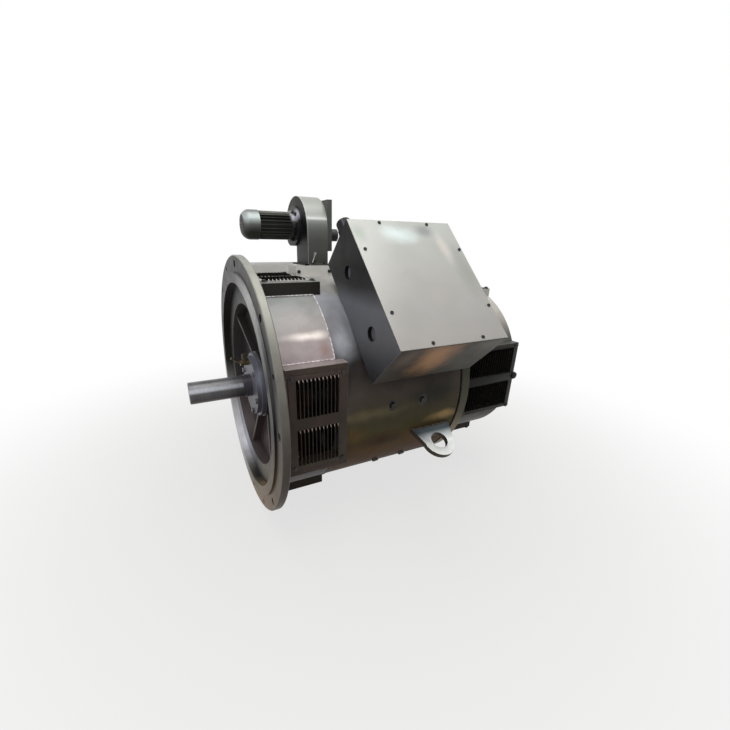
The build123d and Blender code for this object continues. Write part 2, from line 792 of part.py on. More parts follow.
def shaft():
    """Stepped shaft with its keyway."""
    end = -SHAFT_END
    shoulder = SHAFT_E - SHAFT_END
    db_end = DB_START + DB_W
    nb_end = NB_START + NB_W
    r_end = SHAFT_D / 2
    r_db = DB_BORE / 2
    r_neck = SHAFT_NECK_D / 2
    r_core = SHAFT_CORE_D / 2
    r_comm = SHAFT_COMM_D / 2
    r_nb = NB_BORE / 2
    body = revolved([
        (end, 0),
        (end, r_end - SHAFT_CHAMFER),
        (end + SHAFT_CHAMFER, r_end),
        (shoulder, r_end),
        (shoulder, r_db),
        (db_end, r_db),
        (db_end, r_neck),
        (CORE_START - OVERHANG, r_neck),
        (CORE_START - OVERHANG, r_core),
        (COMM_START - RISER_L, r_core),
        (COMM_START - RISER_L, r_comm),
        (COMM_END + 4, r_comm),
        (COMM_END + 4, r_neck),
        (NB_START, r_neck),
        (NB_START, r_nb),
        (nb_end + 3, r_nb),
        (nb_end + 3, 0),
    ])
    slot_face = make_face(Pos(end + KEY_END + KEY_L / 2, 0) * SlotOverall(KEY_L, KEY_W).wire())
    slot = extrude(slot_face, KEY_DEPTH + 5)
    slot = Pos(0, -(r_end - KEY_DEPTH), 0) * Rot(90, 0, 0) * slot
    return body - turned(slot, KEY_ANGLE)


def armature_core():
    """Slotted core with axial vents."""
    core_r = CORE_OD / 2
    length = CORE_END - CORE_START
    face = Circle(core_r) - Circle(SHAFT_CORE_D / 2)
    slot = Pos(core_r - SLOT_DEPTH / 2 + 5, 0) * Rectangle(SLOT_DEPTH + 10, SLOT_W)
    for angle in even(SLOTS):
        face -= Rot(0, 0, angle) * slot
    vent = Pos(VENT_PCD / 2, 0) * Circle(VENT_D / 2)
    for angle in even(VENTS):
        face -= Rot(0, 0, angle) * vent
    return Pos(CORE_START, 0, 0) * Rot(0, 90, 0) * extrude(face, length)


def armature_winding():
    """Coil bars in the slots, joined by the two overhangs."""
    top_r = CORE_OD / 2 - 2
    low_r = CORE_OD / 2 - OVERHANG_WALL
    riser_r = RISER_OD / 2
    body = revolved([
        (CORE_START, low_r),
        (CORE_START, top_r),
        (CORE_START - OVERHANG + 12, top_r),
        (CORE_START - OVERHANG, top_r - 12),
        (CORE_START - OVERHANG, low_r),
    ])
    body += revolved([
        (CORE_END, low_r),
        (CORE_END, top_r),
        (CORE_END + OVERHANG, top_r),
        (COMM_START - RISER_L, riser_r - 2),
        (COMM_START - RISER_L, riser_r - 2 - OVERHANG_WALL / 2),
        (CORE_END + OVERHANG, low_r),
    ])
    bar_w = SLOT_W - 2 * BAR_GAP
    low = CORE_OD / 2 - SLOT_DEPTH + BAR_GAP
    bar = block(CORE_START - 2, CORE_END + 2, -top_r, -low, -bar_w / 2, bar_w / 2)
    for angle in even(SLOTS, -90):
        body += turned(bar, angle)
    return body


def commutator():
    """Copper segments with risers, cut apart by the mica grooves."""
    face = Circle(COMM_R) - Circle(SHAFT_COMM_D / 2)
    groove = Pos(COMM_R, 0) * Rectangle(2 * MICA_DEPTH, MICA_W)
    for angle in even(SEGMENTS):
        face -= Rot(0, 0, angle) * groove
    bars = Pos(COMM_START, 0, 0) * Rot(0, 90, 0) * extrude(face, COMM_END - COMM_START)
    riser = tube(RISER_OD / 2, SHAFT_COMM_D / 2, COMM_START - RISER_L, COMM_START)
    return bars + riser


def brush_rocker():
    """Rocker plate that turns on the bearing boss, with a lobe for each arm."""
    bore_r = NB_BOSS_OD / 2 + RUNNING_GAP
    x1 = ROCKER_START + ROCKER_T
    body = rod(bore_r + ROCKER_RING_T, ROCKER_START, x1)
    lobe = rod(LOBE_R, ROCKER_START, x1, -ARM_RADIUS, ARM_OFFSET)
    web = block(ROCKER_START, x1, -ARM_RADIUS, 0, ARM_OFFSET - LOBE_R, ARM_OFFSET + LOBE_R)
    for angle in SIDES:
        body += turned(lobe + web, angle)
    return body - rod(bore_r, ROCKER_START - 1, x1 + 1)


def brush_arms():
    """Four insulated arms that stand off the rocker."""
    return around(rod(ARM_D / 2, ARM_START, ROCKER_START, -ARM_RADIUS, ARM_OFFSET), SIDES)


def brush_holders():
    """Four brush boxes, each clamped on its arm."""
    axial = BRUSH_AXIAL / 2 + BRUSH_GAP + HOLDER_WALL
    side = BRUSH_W / 2 + BRUSH_GAP + HOLDER_WALL
    inner_r = COMM_R + HOLDER_LIFT
    box = block(BRUSH_X - axial, BRUSH_X + axial, -inner_r - HOLDER_L, -inner_r, -side, side)
    clamp = block(BRUSH_X - CLAMP_AXIAL / 2, BRUSH_X + CLAMP_AXIAL / 2,
                  -ARM_RADIUS - CLAMP_W / 2, -ARM_RADIUS + CLAMP_W / 2 - 6,
                  side - 1, ARM_OFFSET + CLAMP_W / 2)
    box += clamp & block(BRUSH_X - 100, BRUSH_X + 100, -ARM_RADIUS - 100, -inner_r, 0, 200)
    box -= block(BRUSH_X - BRUSH_AXIAL / 2 - BRUSH_GAP, BRUSH_X + BRUSH_AXIAL / 2 + BRUSH_GAP,
                 -inner_r - HOLDER_L - 1, 1 - inner_r,
                 -BRUSH_W / 2 - BRUSH_GAP, BRUSH_W / 2 + BRUSH_GAP)
    box -= rod(ARM_D / 2, ARM_START, ROCKER_START, -ARM_RADIUS, ARM_OFFSET)
    return around(box, SIDES)


def brush(angle):
    """Carbon brush and the spring roll that rides on it."""
    foot_r = COMM_R + BRUSH_LIFT_GAP
    top_r = foot_r + BRUSH_L
    carbon = block(BRUSH_X - BRUSH_AXIAL / 2, BRUSH_X + BRUSH_AXIAL / 2,
                   -top_r, 5 - COMM_R, -BRUSH_W / 2, BRUSH_W / 2)
    carbon -= rod(foot_r, BRUSH_X - BRUSH_AXIAL, BRUSH_X + BRUSH_AXIAL)
    roll = rod(ROLL_D / 2, BRUSH_X - ROLL_L / 2, BRUSH_X + ROLL_L / 2, -top_r - ROLL_D / 2)
    return [turned(carbon, angle), turned(roll, angle)]


def commutator_end_ring():
    """Ring between the yoke and the commutator-end housing."""
    register_r = YOKE_BORE_R - SEAT_GAP
    return revolved([
        (YOKE_END - CR_REGISTER_L, register_r - CR_WALL),
        (YOKE_END - CR_REGISTER_L, register_r),
        (YOKE_END, register_r),
        (YOKE_END, CR_SHOULDER_OD / 2),
        (CR_START, CR_SHOULDER_OD / 2),
        (CR_START, CR_OD / 2 - 2),
        (CR_START + 2, CR_OD / 2),
        (CR_END - 2, CR_OD / 2),
        (CR_END, CR_OD / 2 - 2),
        (CR_END, CR_BORE / 2),
        (CR_END - CR_WALL, CR_BORE / 2),
        (CR_START, register_r - CR_WALL),
    ])


def commutator_end_housing():
    """Shell with four window frames, end wall and bearing boss in one casting."""
    outer_r = NH_OD / 2
    inner_r = outer_r - NH_WALL
    boss_r = NB_BOSS_OD / 2
    wall_x = NH_END - NH_END_WALL
    body = revolved([
        (CR_END, inner_r),
        (CR_END, NH_FLANGE_OD / 2),
        (CR_END + NH_FLANGE_T, NH_FLANGE_OD / 2),
        (CR_END + NH_FLANGE_T, outer_r),
        (NH_END - 6, outer_r),
        (NH_END, outer_r - 6),
        (NH_END, boss_r),
        (NB_BOSS_BACK, boss_r),
        (NB_BOSS_BACK, NB_R),
        (NB_BOSS_FRONT, NB_R),
        (NB_BOSS_FRONT, boss_r),
        (wall_x, boss_r),
        (wall_x, inner_r),
    ])
    frame = window_frame(NW_PLANE, NW_START, NW_END, NW_HALF,
                         NW_OPEN_START, NW_OPEN_END, NW_OPEN_HALF)
    frame -= rod(inner_r, NW_START - 1, wall_x)
    opening = block(NW_OPEN_START, NW_OPEN_END, -NW_PLANE - 1, -inner_r / 2,
                    -NW_OPEN_HALF, NW_OPEN_HALF)
    hole = radial_rod(COVER_BOLT_D / 2, NW_PLANE - COVER_BOLT_L, NW_PLANE + 1, 0)
    for angle in SIDES:
        body += turned(frame, angle)
    for angle in SIDES:
        body -= turned(opening, angle)
        for x in (NC_BOLT_X1, NC_BOLT_X2):
            for z in (-NC_BOLT_Z, NC_BOLT_Z):
                body -= turned(Pos(x, 0, z) * hole, angle)
    return body


def commutator_end_outer_cap():
    """Closed cap outside the commutator-end bearing."""
    inner_r = NB_R - NB_OUTER_RACE_T
    x1 = NB_BOSS_BACK + NB_CAP_T
    return revolved([
        (NB_START + NB_W, NB_R - SEAT_GAP),
        (NB_BOSS_BACK, NB_R - SEAT_GAP),
        (NB_BOSS_BACK, NB_BOSS_OD / 2),
        (x1 - 2, NB_BOSS_OD / 2),
        (x1, NB_BOSS_OD / 2 - 2),
        (x1, 0),
        (NB_BOSS_BACK, 0),
        (NB_BOSS_BACK, inner_r),
        (NB_START + NB_W, inner_r),
    ])


def commutator_end_inner_cap():
    """Grease cap inside the commutator-end bearing."""
    bore_r = SHAFT_NECK_D / 2 + SHAFT_GAP
    x0 = NB_START - 2 * NB_CAP_T
    return revolved([
        (x0, bore_r),
        (x0, NB_R - SEAT_GAP),
        (NB_START, NB_R - SEAT_GAP),
        (NB_START, NB_R - NB_OUTER_RACE_T),
        (NB_START - NB_CAP_T, NB_R - NB_OUTER_RACE_T),
        (NB_START - NB_CAP_T, bore_r),
    ])


def commutator_end_cap_bolts():
    """Bolts of the commutator-end outer cap, with their heads at the far end."""
    x = NB_BOSS_BACK + NB_CAP_T
    head = hex_along(HEX_M12, x, x + HEAD_M12, -NB_CAP_BOLT_PCD / 2)
    return around(head, even(CAP_BOLTS))


def frame_bolts():
    """Bolts that hold the commutator-end housing on the ring."""
    x = CR_END + NH_FLANGE_T
    head = hex_along(HEX_M12, x, x + HEAD_M12, -NH_BOLT_PCD / 2)
    return around(head, even(NH_BOLTS, 22.5))


def terminal_box():
    """Flat-bottomed box on a saddle, with a rim under the cover and two ledges."""
    rim_r = TB_PLANE - TB_COVER_T
    body = block(TB_START, TB_END, -rim_r, -TB_FLOOR, -TB_HALF, TB_HALF)
    body -= block(TB_START + TB_WALL, TB_END - TB_WALL, TB_RIM_T - rim_r, -TB_FLOOR - TB_WALL,
                  TB_WALL - TB_HALF, TB_HALF - TB_WALL)
    body -= block(TB_START + TB_RIM, TB_END - TB_RIM, -rim_r - 1, TB_RIM_T - rim_r + 1,
                  TB_RIM - TB_HALF, TB_HALF - TB_RIM)
    body += block(SADDLE_START, SADDLE_END, -TB_FLOOR - TB_WALL, -sqrt(BODY_R ** 2 - SADDLE_HALF ** 2),
                  -SADDLE_HALF, SADDLE_HALF)
    body -= block(TB_FLOOR_OPEN_START, TB_FLOOR_OPEN_END, -TB_FLOOR - TB_WALL - 1, 0,
                  -TB_FLOOR_OPEN_HALF, TB_FLOOR_OPEN_HALF)
    for x0 in (TB_START + TB_WALL, TB_END - TB_WALL - LEDGE_L):
        body += block(x0, x0 + LEDGE_L, -BOARD_R, LEDGE_T - BOARD_R, -BOARD_HALF, BOARD_HALF)
    body -= rod(BODY_R + SEAT_GAP, TB_START - 1, TB_END + 1)
    for t in (-ENTRY_T, ENTRY_T):
        body -= rod(ENTRY_D / 2, TB_START - 1, TB_START + TB_WALL + 1, -ENTRY_R, t)
    body -= rising_rod(GLAND_THREAD_D / 2, TB_HALF - TB_WALL - 1, TB_HALF + 1, GLAND_X, -GLAND_R)
    hole = radial_rod(TB_SCREW_D / 2, rim_r - TB_RIM_T - 1, rim_r + 1, 0)
    for x, t in cover_screw_stations():
        body -= Pos(x, 0, t) * hole
    return turned(keep_largest(body), TB_ANGLE)


def keep_largest(shape):
    """The largest solid of a shape that a cut has parted."""
    return sorted(shape.solids(), key=lambda solid: solid.volume)[-1]


def cover_screw_stations():
    """X and offset of each screw in the terminal box's cover."""
    sides = [(x, t) for x in (TB_SIDE_SCREW_X1, TB_SIDE_SCREW_X2)
             for t in (-TB_SIDE_SCREW_T, TB_SIDE_SCREW_T)]
    ends = [(x, t) for x in (TB_END_SCREW_X1, TB_END_SCREW_X2)
            for t in (-TB_END_SCREW_T, TB_END_SCREW_T)]
    return sides + ends


def terminal_box_cover():
    """Flat cover of the terminal box."""
    sheet = block(TB_START, TB_END, -TB_PLANE, TB_COVER_T - TB_PLANE, -TB_HALF, TB_HALF)
    sheet = chamfer(sheet.faces().sort_by(Axis.Y)[0].edges(), 1.5)
    hole = radial_rod(TB_SCREW_D / 2, TB_PLANE - TB_COVER_T - 1, TB_PLANE + 1, 0)
    for x, t in cover_screw_stations():
        sheet -= Pos(x, 0, t) * hole
    return turned(sheet, TB_ANGLE)


def terminal_box_screws():
    """Pan-head screws of the cover."""
    screw = radial_rod(TB_SCREW_D / 2 - SEAT_GAP, TB_PLANE - TB_COVER_T - TB_RIM_T - 6, TB_PLANE, 0)
    screw += radial_rod(TB_SCREW_HEAD_D / 2, TB_PLANE, TB_PLANE + TB_SCREW_HEAD, 0)
    return [turned(Pos(x, 0, t) * screw, TB_ANGLE) for x, t in cover_screw_stations()]


def terminal_board():
    """Insulating board on the ledges."""
    middle = (TB_START + TB_END) / 2
    board = block(middle - BOARD_L / 2, middle + BOARD_L / 2,
                  -BOARD_R - BOARD_T, -BOARD_R, -BOARD_HALF, BOARD_HALF)
    return turned(board, TB_ANGLE)


def terminal_studs():
    """Studs with nuts, in two rows on the board."""
    middle = (TB_START + TB_END) / 2
    face = BOARD_R + BOARD_T
    stud = radial_rod(STUD_D / 2, face, face + STUD_L, 0)
    stud += hex_rod(STUD_HEX, face, face + STUD_NUT, 0)
    studs = []
    for column in range(STUD_COLUMNS):
        x = middle + (column - (STUD_COLUMNS - 1) / 2) * STUD_PITCH_X
        for t in (-STUD_PITCH_T / 2, STUD_PITCH_T / 2):
            studs.append(turned(Pos(x, 0, t) * stud, TB_ANGLE))
    return studs


def cable_entry_plugs():
    """Cup plugs in the two cable entries of the drive-side wall, and the blanked gland."""
    wall = TB_START + TB_WALL
    cup_r = ENTRY_D / 2 - PLUG_GAP
    plugs = [turned(cable_gland(), TB_ANGLE)]
    for t in (-ENTRY_T, ENTRY_T):
        plug = rod(cup_r, TB_START, TB_START + PLUG_DEPTH + PLUG_FLOOR, -ENTRY_R, t)
        plug += rod(PLUG_HEAD_D / 2, wall, wall + PLUG_HEAD, -ENTRY_R, t)
        plug -= rod(cup_r - PLUG_LIP, TB_START - 1, TB_START + PLUG_DEPTH, -ENTRY_R, t)
        plugs.append(turned(plug, TB_ANGLE))
    return plugs


def cable_gland():
    """Blanked gland on the far wall of the terminal box, near the drive side."""
    gland = rising_rod(GLAND_THREAD_D / 2 - PLUG_GAP, GLAND_INNER, TB_HALF + 1, GLAND_X, -GLAND_R)
    gland += hex_rising(GLAND_HEX, TB_HALF, TB_HALF + GLAND_HEX_T, GLAND_X, -GLAND_R)
    gland += rising_rod(GLAND_D / 2, TB_HALF + GLAND_HEX_T, GLAND_TIP, GLAND_X, -GLAND_R)
    return gland


def lifting_lug():
    """Flat lug welded low on the near side of the yoke."""
    root_r = BODY_R
    plate_face = Polyline(
        (-LUG_ROOT_HALF, LUG_SINK),
        (-LUG_ROOT_HALF, 0),
        (-LUG_END_R, -LUG_REACH),
        (LUG_END_R, -LUG_REACH),
        (LUG_ROOT_HALF, 0),
        (LUG_ROOT_HALF, LUG_SINK),
        close=True)
    outline = make_face(plate_face) + Pos(0, -LUG_REACH) * Circle(LUG_END_R)
    outline -= Pos(0, -LUG_REACH) * Circle(LUG_HOLE_D / 2)
    plate = extrude(outline, LUG_T / 2, both=True)
    angle = radians(LUG_ROOT_ANGLE)
    place = Pos(LUG_X, -root_r * cos(angle), root_r * sin(angle)) * Rot(-LUG_TILT, 0, 0)
    plate = place * plate
    return keep_largest(plate - rod(root_r + SEAT_GAP, LUG_X - 200, LUG_X + 200))


def duct_plan(inset):
    """Plan of the duct, moved in by a distance."""
    return Polyline(
        (DUCT_START + inset, DUCT_NEAR_Y + inset),
        (DUCT_STEP_X + inset, DUCT_NEAR_Y + inset),
        (DUCT_STEP_X + inset, DUCT_STEP_Y + inset),
        (DUCT_END - inset, DUCT_STEP_Y + inset),
        (DUCT_END - inset, DUCT_FAR_Y - inset),
        (DUCT_START + inset, DUCT_FAR_Y - inset),
        close=True)


def air_duct():
    """Sheet duct from the blower down to the drive-end housing's port."""
    outer = extrude(make_face(duct_plan(0)), DUCT_TOP)
    inner = extrude(make_face(duct_plan(DUCT_WALL)), DUCT_TOP - DUCT_WALL)
    body = outer - inner - rod(BODY_R + SEAT_GAP, DUCT_START - 1, DUCT_END + 1)
    near_y = VOLUTE_CY - VOLUTE_R
    body -= block(VOLUTE_START + VOLUTE_SHEET, VOLUTE_END - VOLUTE_SHEET,
                  near_y + VOLUTE_SHEET, NECK_FAR_Y - VOLUTE_SHEET, DUCT_TOP - 10, DUCT_TOP + 1)
    return keep_largest(body)


def volute_outline(inset):
    """Outline of the scroll in the YZ plane, moved in by a distance."""
    near_y = VOLUTE_CY - VOLUTE_R + inset
    top_z = VOLUTE_CZ + VOLUTE_R - inset
    far_y = VOLUTE_CY + VOLUTE_R - inset
    tongue_z = VOLUTE_CZ - VOLUTE_TONGUE_R + inset
    tongue_y = VOLUTE_CY + VOLUTE_R - VOLUTE_TONGUE_R
    neck_y = NECK_FAR_Y - inset
    r = VOLUTE_R - inset
    q = VOLUTE_TONGUE_R - inset
    c = cos(pi / 4)
    return Wire([
        Edge.make_line((near_y, DUCT_TOP, 0), (near_y, VOLUTE_CZ, 0)),
        Edge.make_three_point_arc((near_y, VOLUTE_CZ, 0),
                                  (VOLUTE_CY - c * r, VOLUTE_CZ + c * r, 0),
                                  (VOLUTE_CY, top_z, 0)),
        Edge.make_three_point_arc((VOLUTE_CY, top_z, 0),
                                  (VOLUTE_CY + c * r, VOLUTE_CZ + c * r, 0),
                                  (far_y, VOLUTE_CZ, 0)),
        Edge.make_three_point_arc((far_y, VOLUTE_CZ, 0),
                                  (tongue_y + c * q, VOLUTE_CZ - c * q, 0),
                                  (tongue_y, tongue_z, 0)),
        Edge.make_line((tongue_y, tongue_z, 0), (neck_y, tongue_z, 0)),
        Edge.make_line((neck_y, tongue_z, 0), (neck_y, DUCT_TOP, 0)),
        Edge.make_line((neck_y, DUCT_TOP, 0), (near_y, DUCT_TOP, 0)),
    ])


def across(wire, x0, x1):
    """A prism along X over an outline drawn in the YZ plane."""
    return Pos(x0, 0, 0) * extrude(Plane.YZ * make_face(wire), x1 - x0)


def blower_volute():
    """Scroll casing with its base flange, open to the duct below and to the inlet box."""
    near_y = VOLUTE_CY - VOLUTE_R
    body = across(volute_outline(0), VOLUTE_START, VOLUTE_END)
    body += block(VOLUTE_START - BASE_LIP, VOLUTE_END + BASE_LIP,
                  near_y - BASE_LIP, NECK_FAR_Y + BASE_LIP, DUCT_TOP, DUCT_TOP + BASE_T)
    inside = across(volute_outline(VOLUTE_SHEET), VOLUTE_START + VOLUTE_SHEET,
                    VOLUTE_END - VOLUTE_SHEET)
    body -= inside
    body -= rod(VOLUTE_SHAFT_HOLE_D / 2, VOLUTE_START - 1, VOLUTE_START + VOLUTE_SHEET + 1,
                BL_Y, BL_Z)
    body -= rod(VOLUTE_INLET_D / 2, VOLUTE_END - VOLUTE_SHEET - 1, VOLUTE_END + 1, BL_Y, BL_Z)
    return body


def blower_bolts():
    """Bolts of the blower base, the duct wall and the blower motor's flange."""
    near_y = VOLUTE_CY - VOLUTE_R
    bolts = []
    head = extrude(RegularPolygon(COVER_HEX / 2, 6, major_radius=False), COVER_HEAD)
    for x in (VOLUTE_START + 20, VOLUTE_END - 20):
        bolts.append(Pos(x, near_y - BASE_LIP / 2, DUCT_TOP + BASE_T) * head)
    for x in (DUCT_BOLT_X1, DUCT_BOLT_X2):
        bolts.append(Pos(x, DUCT_STEP_Y, DUCT_BOLT_Z) * Rot(90, 0, 0) * head)
    flange_x = VOLUTE_START - BM_FLANGE_T
    for angle in SHOULDERS:
        y = BL_Y - 65 * cos(radians(angle))
        z = BL_Z + 65 * sin(radians(angle))
        bolts.append(hex_along(COVER_HEX, flange_x - COVER_HEAD, flange_x, y, z))
    return bolts


def blower_motor_frame():
    """Finned stator housing with its flange."""
    face = Circle(BM_CORE_D / 2)
    fin = Pos(BM_FIN_R / 2, 0) * Rectangle(BM_FIN_R, BM_FIN_T)
    for angle in even(BM_FINS):
        face += Rot(0, 0, angle) * fin
    flange_x = VOLUTE_START - BM_FLANGE_T
    fins = extrude(face, flange_x - 12 - BM_BODY_START)
    body = Pos(BM_BODY_START, BL_Y, BL_Z) * Rot(0, 90, 0) * fins
    body += rod(BM_BRIDGE_D / 2, flange_x - 12, flange_x, BL_Y, BL_Z)
    body += rod(BM_FLANGE_D / 2, flange_x, VOLUTE_START, BL_Y, BL_Z)
    bore_r = BM_SHAFT_D / 2 + RUNNING_GAP
    body -= rod(bore_r, BM_BODY_START - 1, VOLUTE_START + 1, BL_Y, BL_Z)
    return body - rod(BM_BORE_D / 2, BM_ROTOR_START - 4, BM_ROTOR_END + 4, BL_Y, BL_Z)


def blower_fan_cowl():
    """Domed sheet cowl over the motor's fan, slotted at its end."""
    r = COWL_D / 2
    face_r = COWL_FACE_D / 2
    s = COWL_SHEET
    shape = revolved([
        (COWL_START, 0),
        (COWL_START, face_r),
        (COWL_START + COWL_DOME / 3, face_r + (r - face_r) * 0.7),
        (COWL_START + COWL_DOME, r),
        (COWL_END, r),
        (COWL_END, r - s),
        (COWL_START + COWL_DOME + s, r - s),
        (COWL_START + COWL_DOME / 3 + s, face_r + (r - face_r) * 0.7 - s),
        (COWL_START + s, face_r - s / 2),
        (COWL_START + s, 0),
    ])
    slot = block(COWL_START - 1, COWL_START + s + 1, -face_r + 6, -10,
                 -COWL_SLOT_W / 2, COWL_SLOT_W / 2)
    for angle in even(COWL_SLOTS):
        shape -= turned(slot, angle)
    return Pos(0, BL_Y, BL_Z) * shape


def blower_shaft():
    """Blower motor shaft with its rotor."""
    impeller_x = VOLUTE_START + VOLUTE_SHEET + IMPELLER_LEAD
    body = rod(BM_SHAFT_D / 2, BM_SHAFT_START, impeller_x + 24, BL_Y, BL_Z)
    return body + rod(BM_ROTOR_D / 2, BM_ROTOR_START, BM_ROTOR_END, BL_Y, BL_Z)


def blower_cooling_fan():
    """Radial fan of the blower motor."""
    body = rod(14, BM_FAN_X, BM_FAN_X + BM_FAN_W)
    body += rod(BM_FAN_D / 2, BM_FAN_X + BM_FAN_W - 3, BM_FAN_X + BM_FAN_W)
    blade = block(BM_FAN_X, BM_FAN_X + BM_FAN_W, -BM_FAN_D / 2 + 2, -10, -1.2, 1.2)
    for angle in even(BM_FAN_BLADES):
        body += turned(blade, angle)
    return Pos(0, BL_Y, BL_Z) * (body - rod(BM_SHAFT_D / 2, BM_FAN_X - 1, BM_FAN_X + BM_FAN_W + 1))


def blower_impeller():
    """Drum impeller with forward-leaning blades between a disc and a ring."""
    x0 = VOLUTE_START + VOLUTE_SHEET + IMPELLER_LEAD
    x1 = x0 + IMPELLER_W
    r = IMPELLER_D / 2
    hub = rod(IMPELLER_HUB_D / 2, x0, x0 + 24)
    body = hub + rod(r, x0, x0 + IMPELLER_DISC_T)
    body += tube(r, r - IMPELLER_BLADE_L, x1 - IMPELLER_DISC_T, x1)
    blade = block(x0, x1, -IMPELLER_BLADE_L - 1, 1, -IMPELLER_BLADE_T / 2, IMPELLER_BLADE_T / 2)
    blade = Pos(0, -(r - IMPELLER_BLADE_L), 0) * Rot(28, 0, 0) * blade
    blade &= tube(r - 0.5, r - IMPELLER_BLADE_L, x0, x1)
    for angle in even(IMPELLER_BLADES):
        body += turned(blade, angle)
    return Pos(0, BL_Y, BL_Z) * (body - rod(BM_SHAFT_D / 2, x0 - 1, x0 + 25))


def blower_inlet_box():
    """Flat inlet box on the volute, slotted on its outer side."""
    x0 = VOLUTE_END
    x1 = VOLUTE_END + INLET_T
    s = VOLUTE_SHEET
    body = block(x0, x1, INLET_NEAR_Y, INLET_FAR_Y, INLET_BOTTOM, INLET_TOP)
    body -= block(x0 + s, x1 - s, INLET_NEAR_Y + s, INLET_FAR_Y - s,
                  INLET_BOTTOM + s, INLET_TOP - s)
    body -= rod(VOLUTE_INLET_D / 2, x0 - 1, x0 + s + 1, BL_Y, BL_Z)
    pitch = (INLET_TOP - INLET_BOTTOM - 2 * INLET_MARGIN) / INLET_SLOTS
    y0 = SWITCH_Y + SWITCH_LIP_D / 2 + 6
    for k in range(INLET_SLOTS):
        z = INLET_BOTTOM + INLET_MARGIN + (k + 0.5) * pitch
        body -= block(x1 - s - 1, x1 + 1, y0, INLET_FAR_Y - INLET_MARGIN,
                      z - INLET_SLOT_H / 2, z + INLET_SLOT_H / 2)
    return body


def blower_pressure_switch():
    """Round air-pressure switch on the inlet box."""
    x0 = VOLUTE_END + INLET_T
    body = rod(SWITCH_LIP_D / 2, x0, x0 + SWITCH_LIP, SWITCH_Y, SWITCH_Z)
    return body + rod(SWITCH_D / 2, x0 + SWITCH_LIP, x0 + SWITCH_L, SWITCH_Y, SWITCH_Z)


def save(name, shape):
    """Write one node's solids to its file."""
    solids = []
    for piece in shape if isinstance(shape, list) else [shape]:
        solids += list(piece.solids())
    whole = solids[0] if len(solids) == 1 else Compound(children=solids)
    export_step(whole, "parts/" + name + ".step")


os.makedirs("parts", exist_ok=True)
near_cover = drive_end_cover()
brush_cover = commutator_end_cover(True)
plain_cover = commutator_end_cover(False)
lug = lifting_lug()

save("drive_end_shield", drive_end_shield())
save("drive_end_housing", drive_end_housing())
save("drive_end_cover_near", near_cover)
save("drive_end_cover_top", turned(near_cover, 90))
save("drive_end_cover_far", turned(near_cover, 180))
save("drive_end_cover_bottom", turned(near_cover, 270))
save("drive_end_cover_bolts", cover_bolts(DW_PLANE, (DC_BOLT_X1, DC_BOLT_X2), DC_BOLT_Z))
save("drive_end_outer_cap", drive_end_outer_cap())
save("drive_end_inner_cap", drive_end_inner_cap())
save("drive_end_cap_bolts", drive_end_cap_bolts())
save("drive_end_outer_race", drive_end_outer_race())
save("drive_end_inner_race", drive_end_inner_race())
save("grease_nipple", grease_nipple())
save("yoke", yoke())
save("main_poles", main_poles())
save("field_coils", field_coils())
save("interpoles", interpoles())
save("interpole_coils", interpole_coils())
save("pole_bolts", pole_bolts())
save("commutator_end_ring", commutator_end_ring())
save("commutator_end_housing", commutator_end_housing())
save("commutator_end_cover_near", brush_cover)
save("commutator_end_cover_far", turned(brush_cover, 180))
save("commutator_end_plain_covers", around(plain_cover, (90, 270)))
save("commutator_end_cover_bolts", cover_bolts(NW_PLANE, (NC_BOLT_X1, NC_BOLT_X2), NC_BOLT_Z))
save("commutator_end_outer_cap", commutator_end_outer_cap())
save("commutator_end_inner_cap", commutator_end_inner_cap())
save("commutator_end_cap_bolts", commutator_end_cap_bolts())
save("commutator_end_outer_race", commutator_end_outer_race())
save("commutator_end_inner_race", commutator_end_inner_race())
save("frame_bolts", frame_bolts())
save("shaft", shaft())
save("armature_core", armature_core())
save("armature_winding", armature_winding())
save("commutator", commutator())
save("brush_rocker", brush_rocker())
save("brush_arms", brush_arms())
save("brush_holders", brush_holders())
save("brush_near", brush(0))
save("brush_top", brush(90))
save("brush_far", brush(180))
save("brush_bottom", brush(270))
save("terminal_box", terminal_box())
save("terminal_box_cover", terminal_box_cover())
save("terminal_box_screws", terminal_box_screws())
save("terminal_board", terminal_board())
save("terminal_studs", terminal_studs())
save("cable_entry_plugs", cable_entry_plugs())
save("lifting_lug_near", lug)
save("lifting_lug_far", turned(lug, 180))
save("air_duct", air_duct())
save("blower_volute", blower_volute())
save("blower_bolts", blower_bolts())
save("blower_inlet_box", blower_inlet_box())
save("blower_pressure_switch", blower_pressure_switch())
save("blower_motor_frame", blower_motor_frame())
save("blower_fan_cowl", blower_fan_cowl())
save("blower_shaft", blower_shaft())
save("blower_cooling_fan", blower_cooling_fan())
save("blower_impeller", blower_impeller())
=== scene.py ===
import logging
import math
from contextlib import contextmanager
from dataclasses import dataclass
from enum import Enum
from typing import Callable, Iterator, Sequence

import bpy
from mathutils import Matrix, Vector


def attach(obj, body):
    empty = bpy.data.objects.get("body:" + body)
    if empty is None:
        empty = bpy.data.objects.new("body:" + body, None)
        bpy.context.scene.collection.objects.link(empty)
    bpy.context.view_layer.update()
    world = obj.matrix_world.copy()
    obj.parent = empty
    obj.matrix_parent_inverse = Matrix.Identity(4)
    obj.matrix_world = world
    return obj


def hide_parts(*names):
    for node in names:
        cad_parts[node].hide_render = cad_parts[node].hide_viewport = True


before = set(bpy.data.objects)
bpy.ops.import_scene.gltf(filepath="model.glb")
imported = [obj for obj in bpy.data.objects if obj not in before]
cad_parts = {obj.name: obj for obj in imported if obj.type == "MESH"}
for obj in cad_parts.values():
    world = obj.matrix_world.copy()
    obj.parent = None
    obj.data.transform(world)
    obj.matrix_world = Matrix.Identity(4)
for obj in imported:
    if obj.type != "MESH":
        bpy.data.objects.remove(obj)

log = logging.getLogger("dc_motor")
Obj = bpy.types.Object
Owner = bpy.types.Material | bpy.types.World
Pair = tuple[float, float]
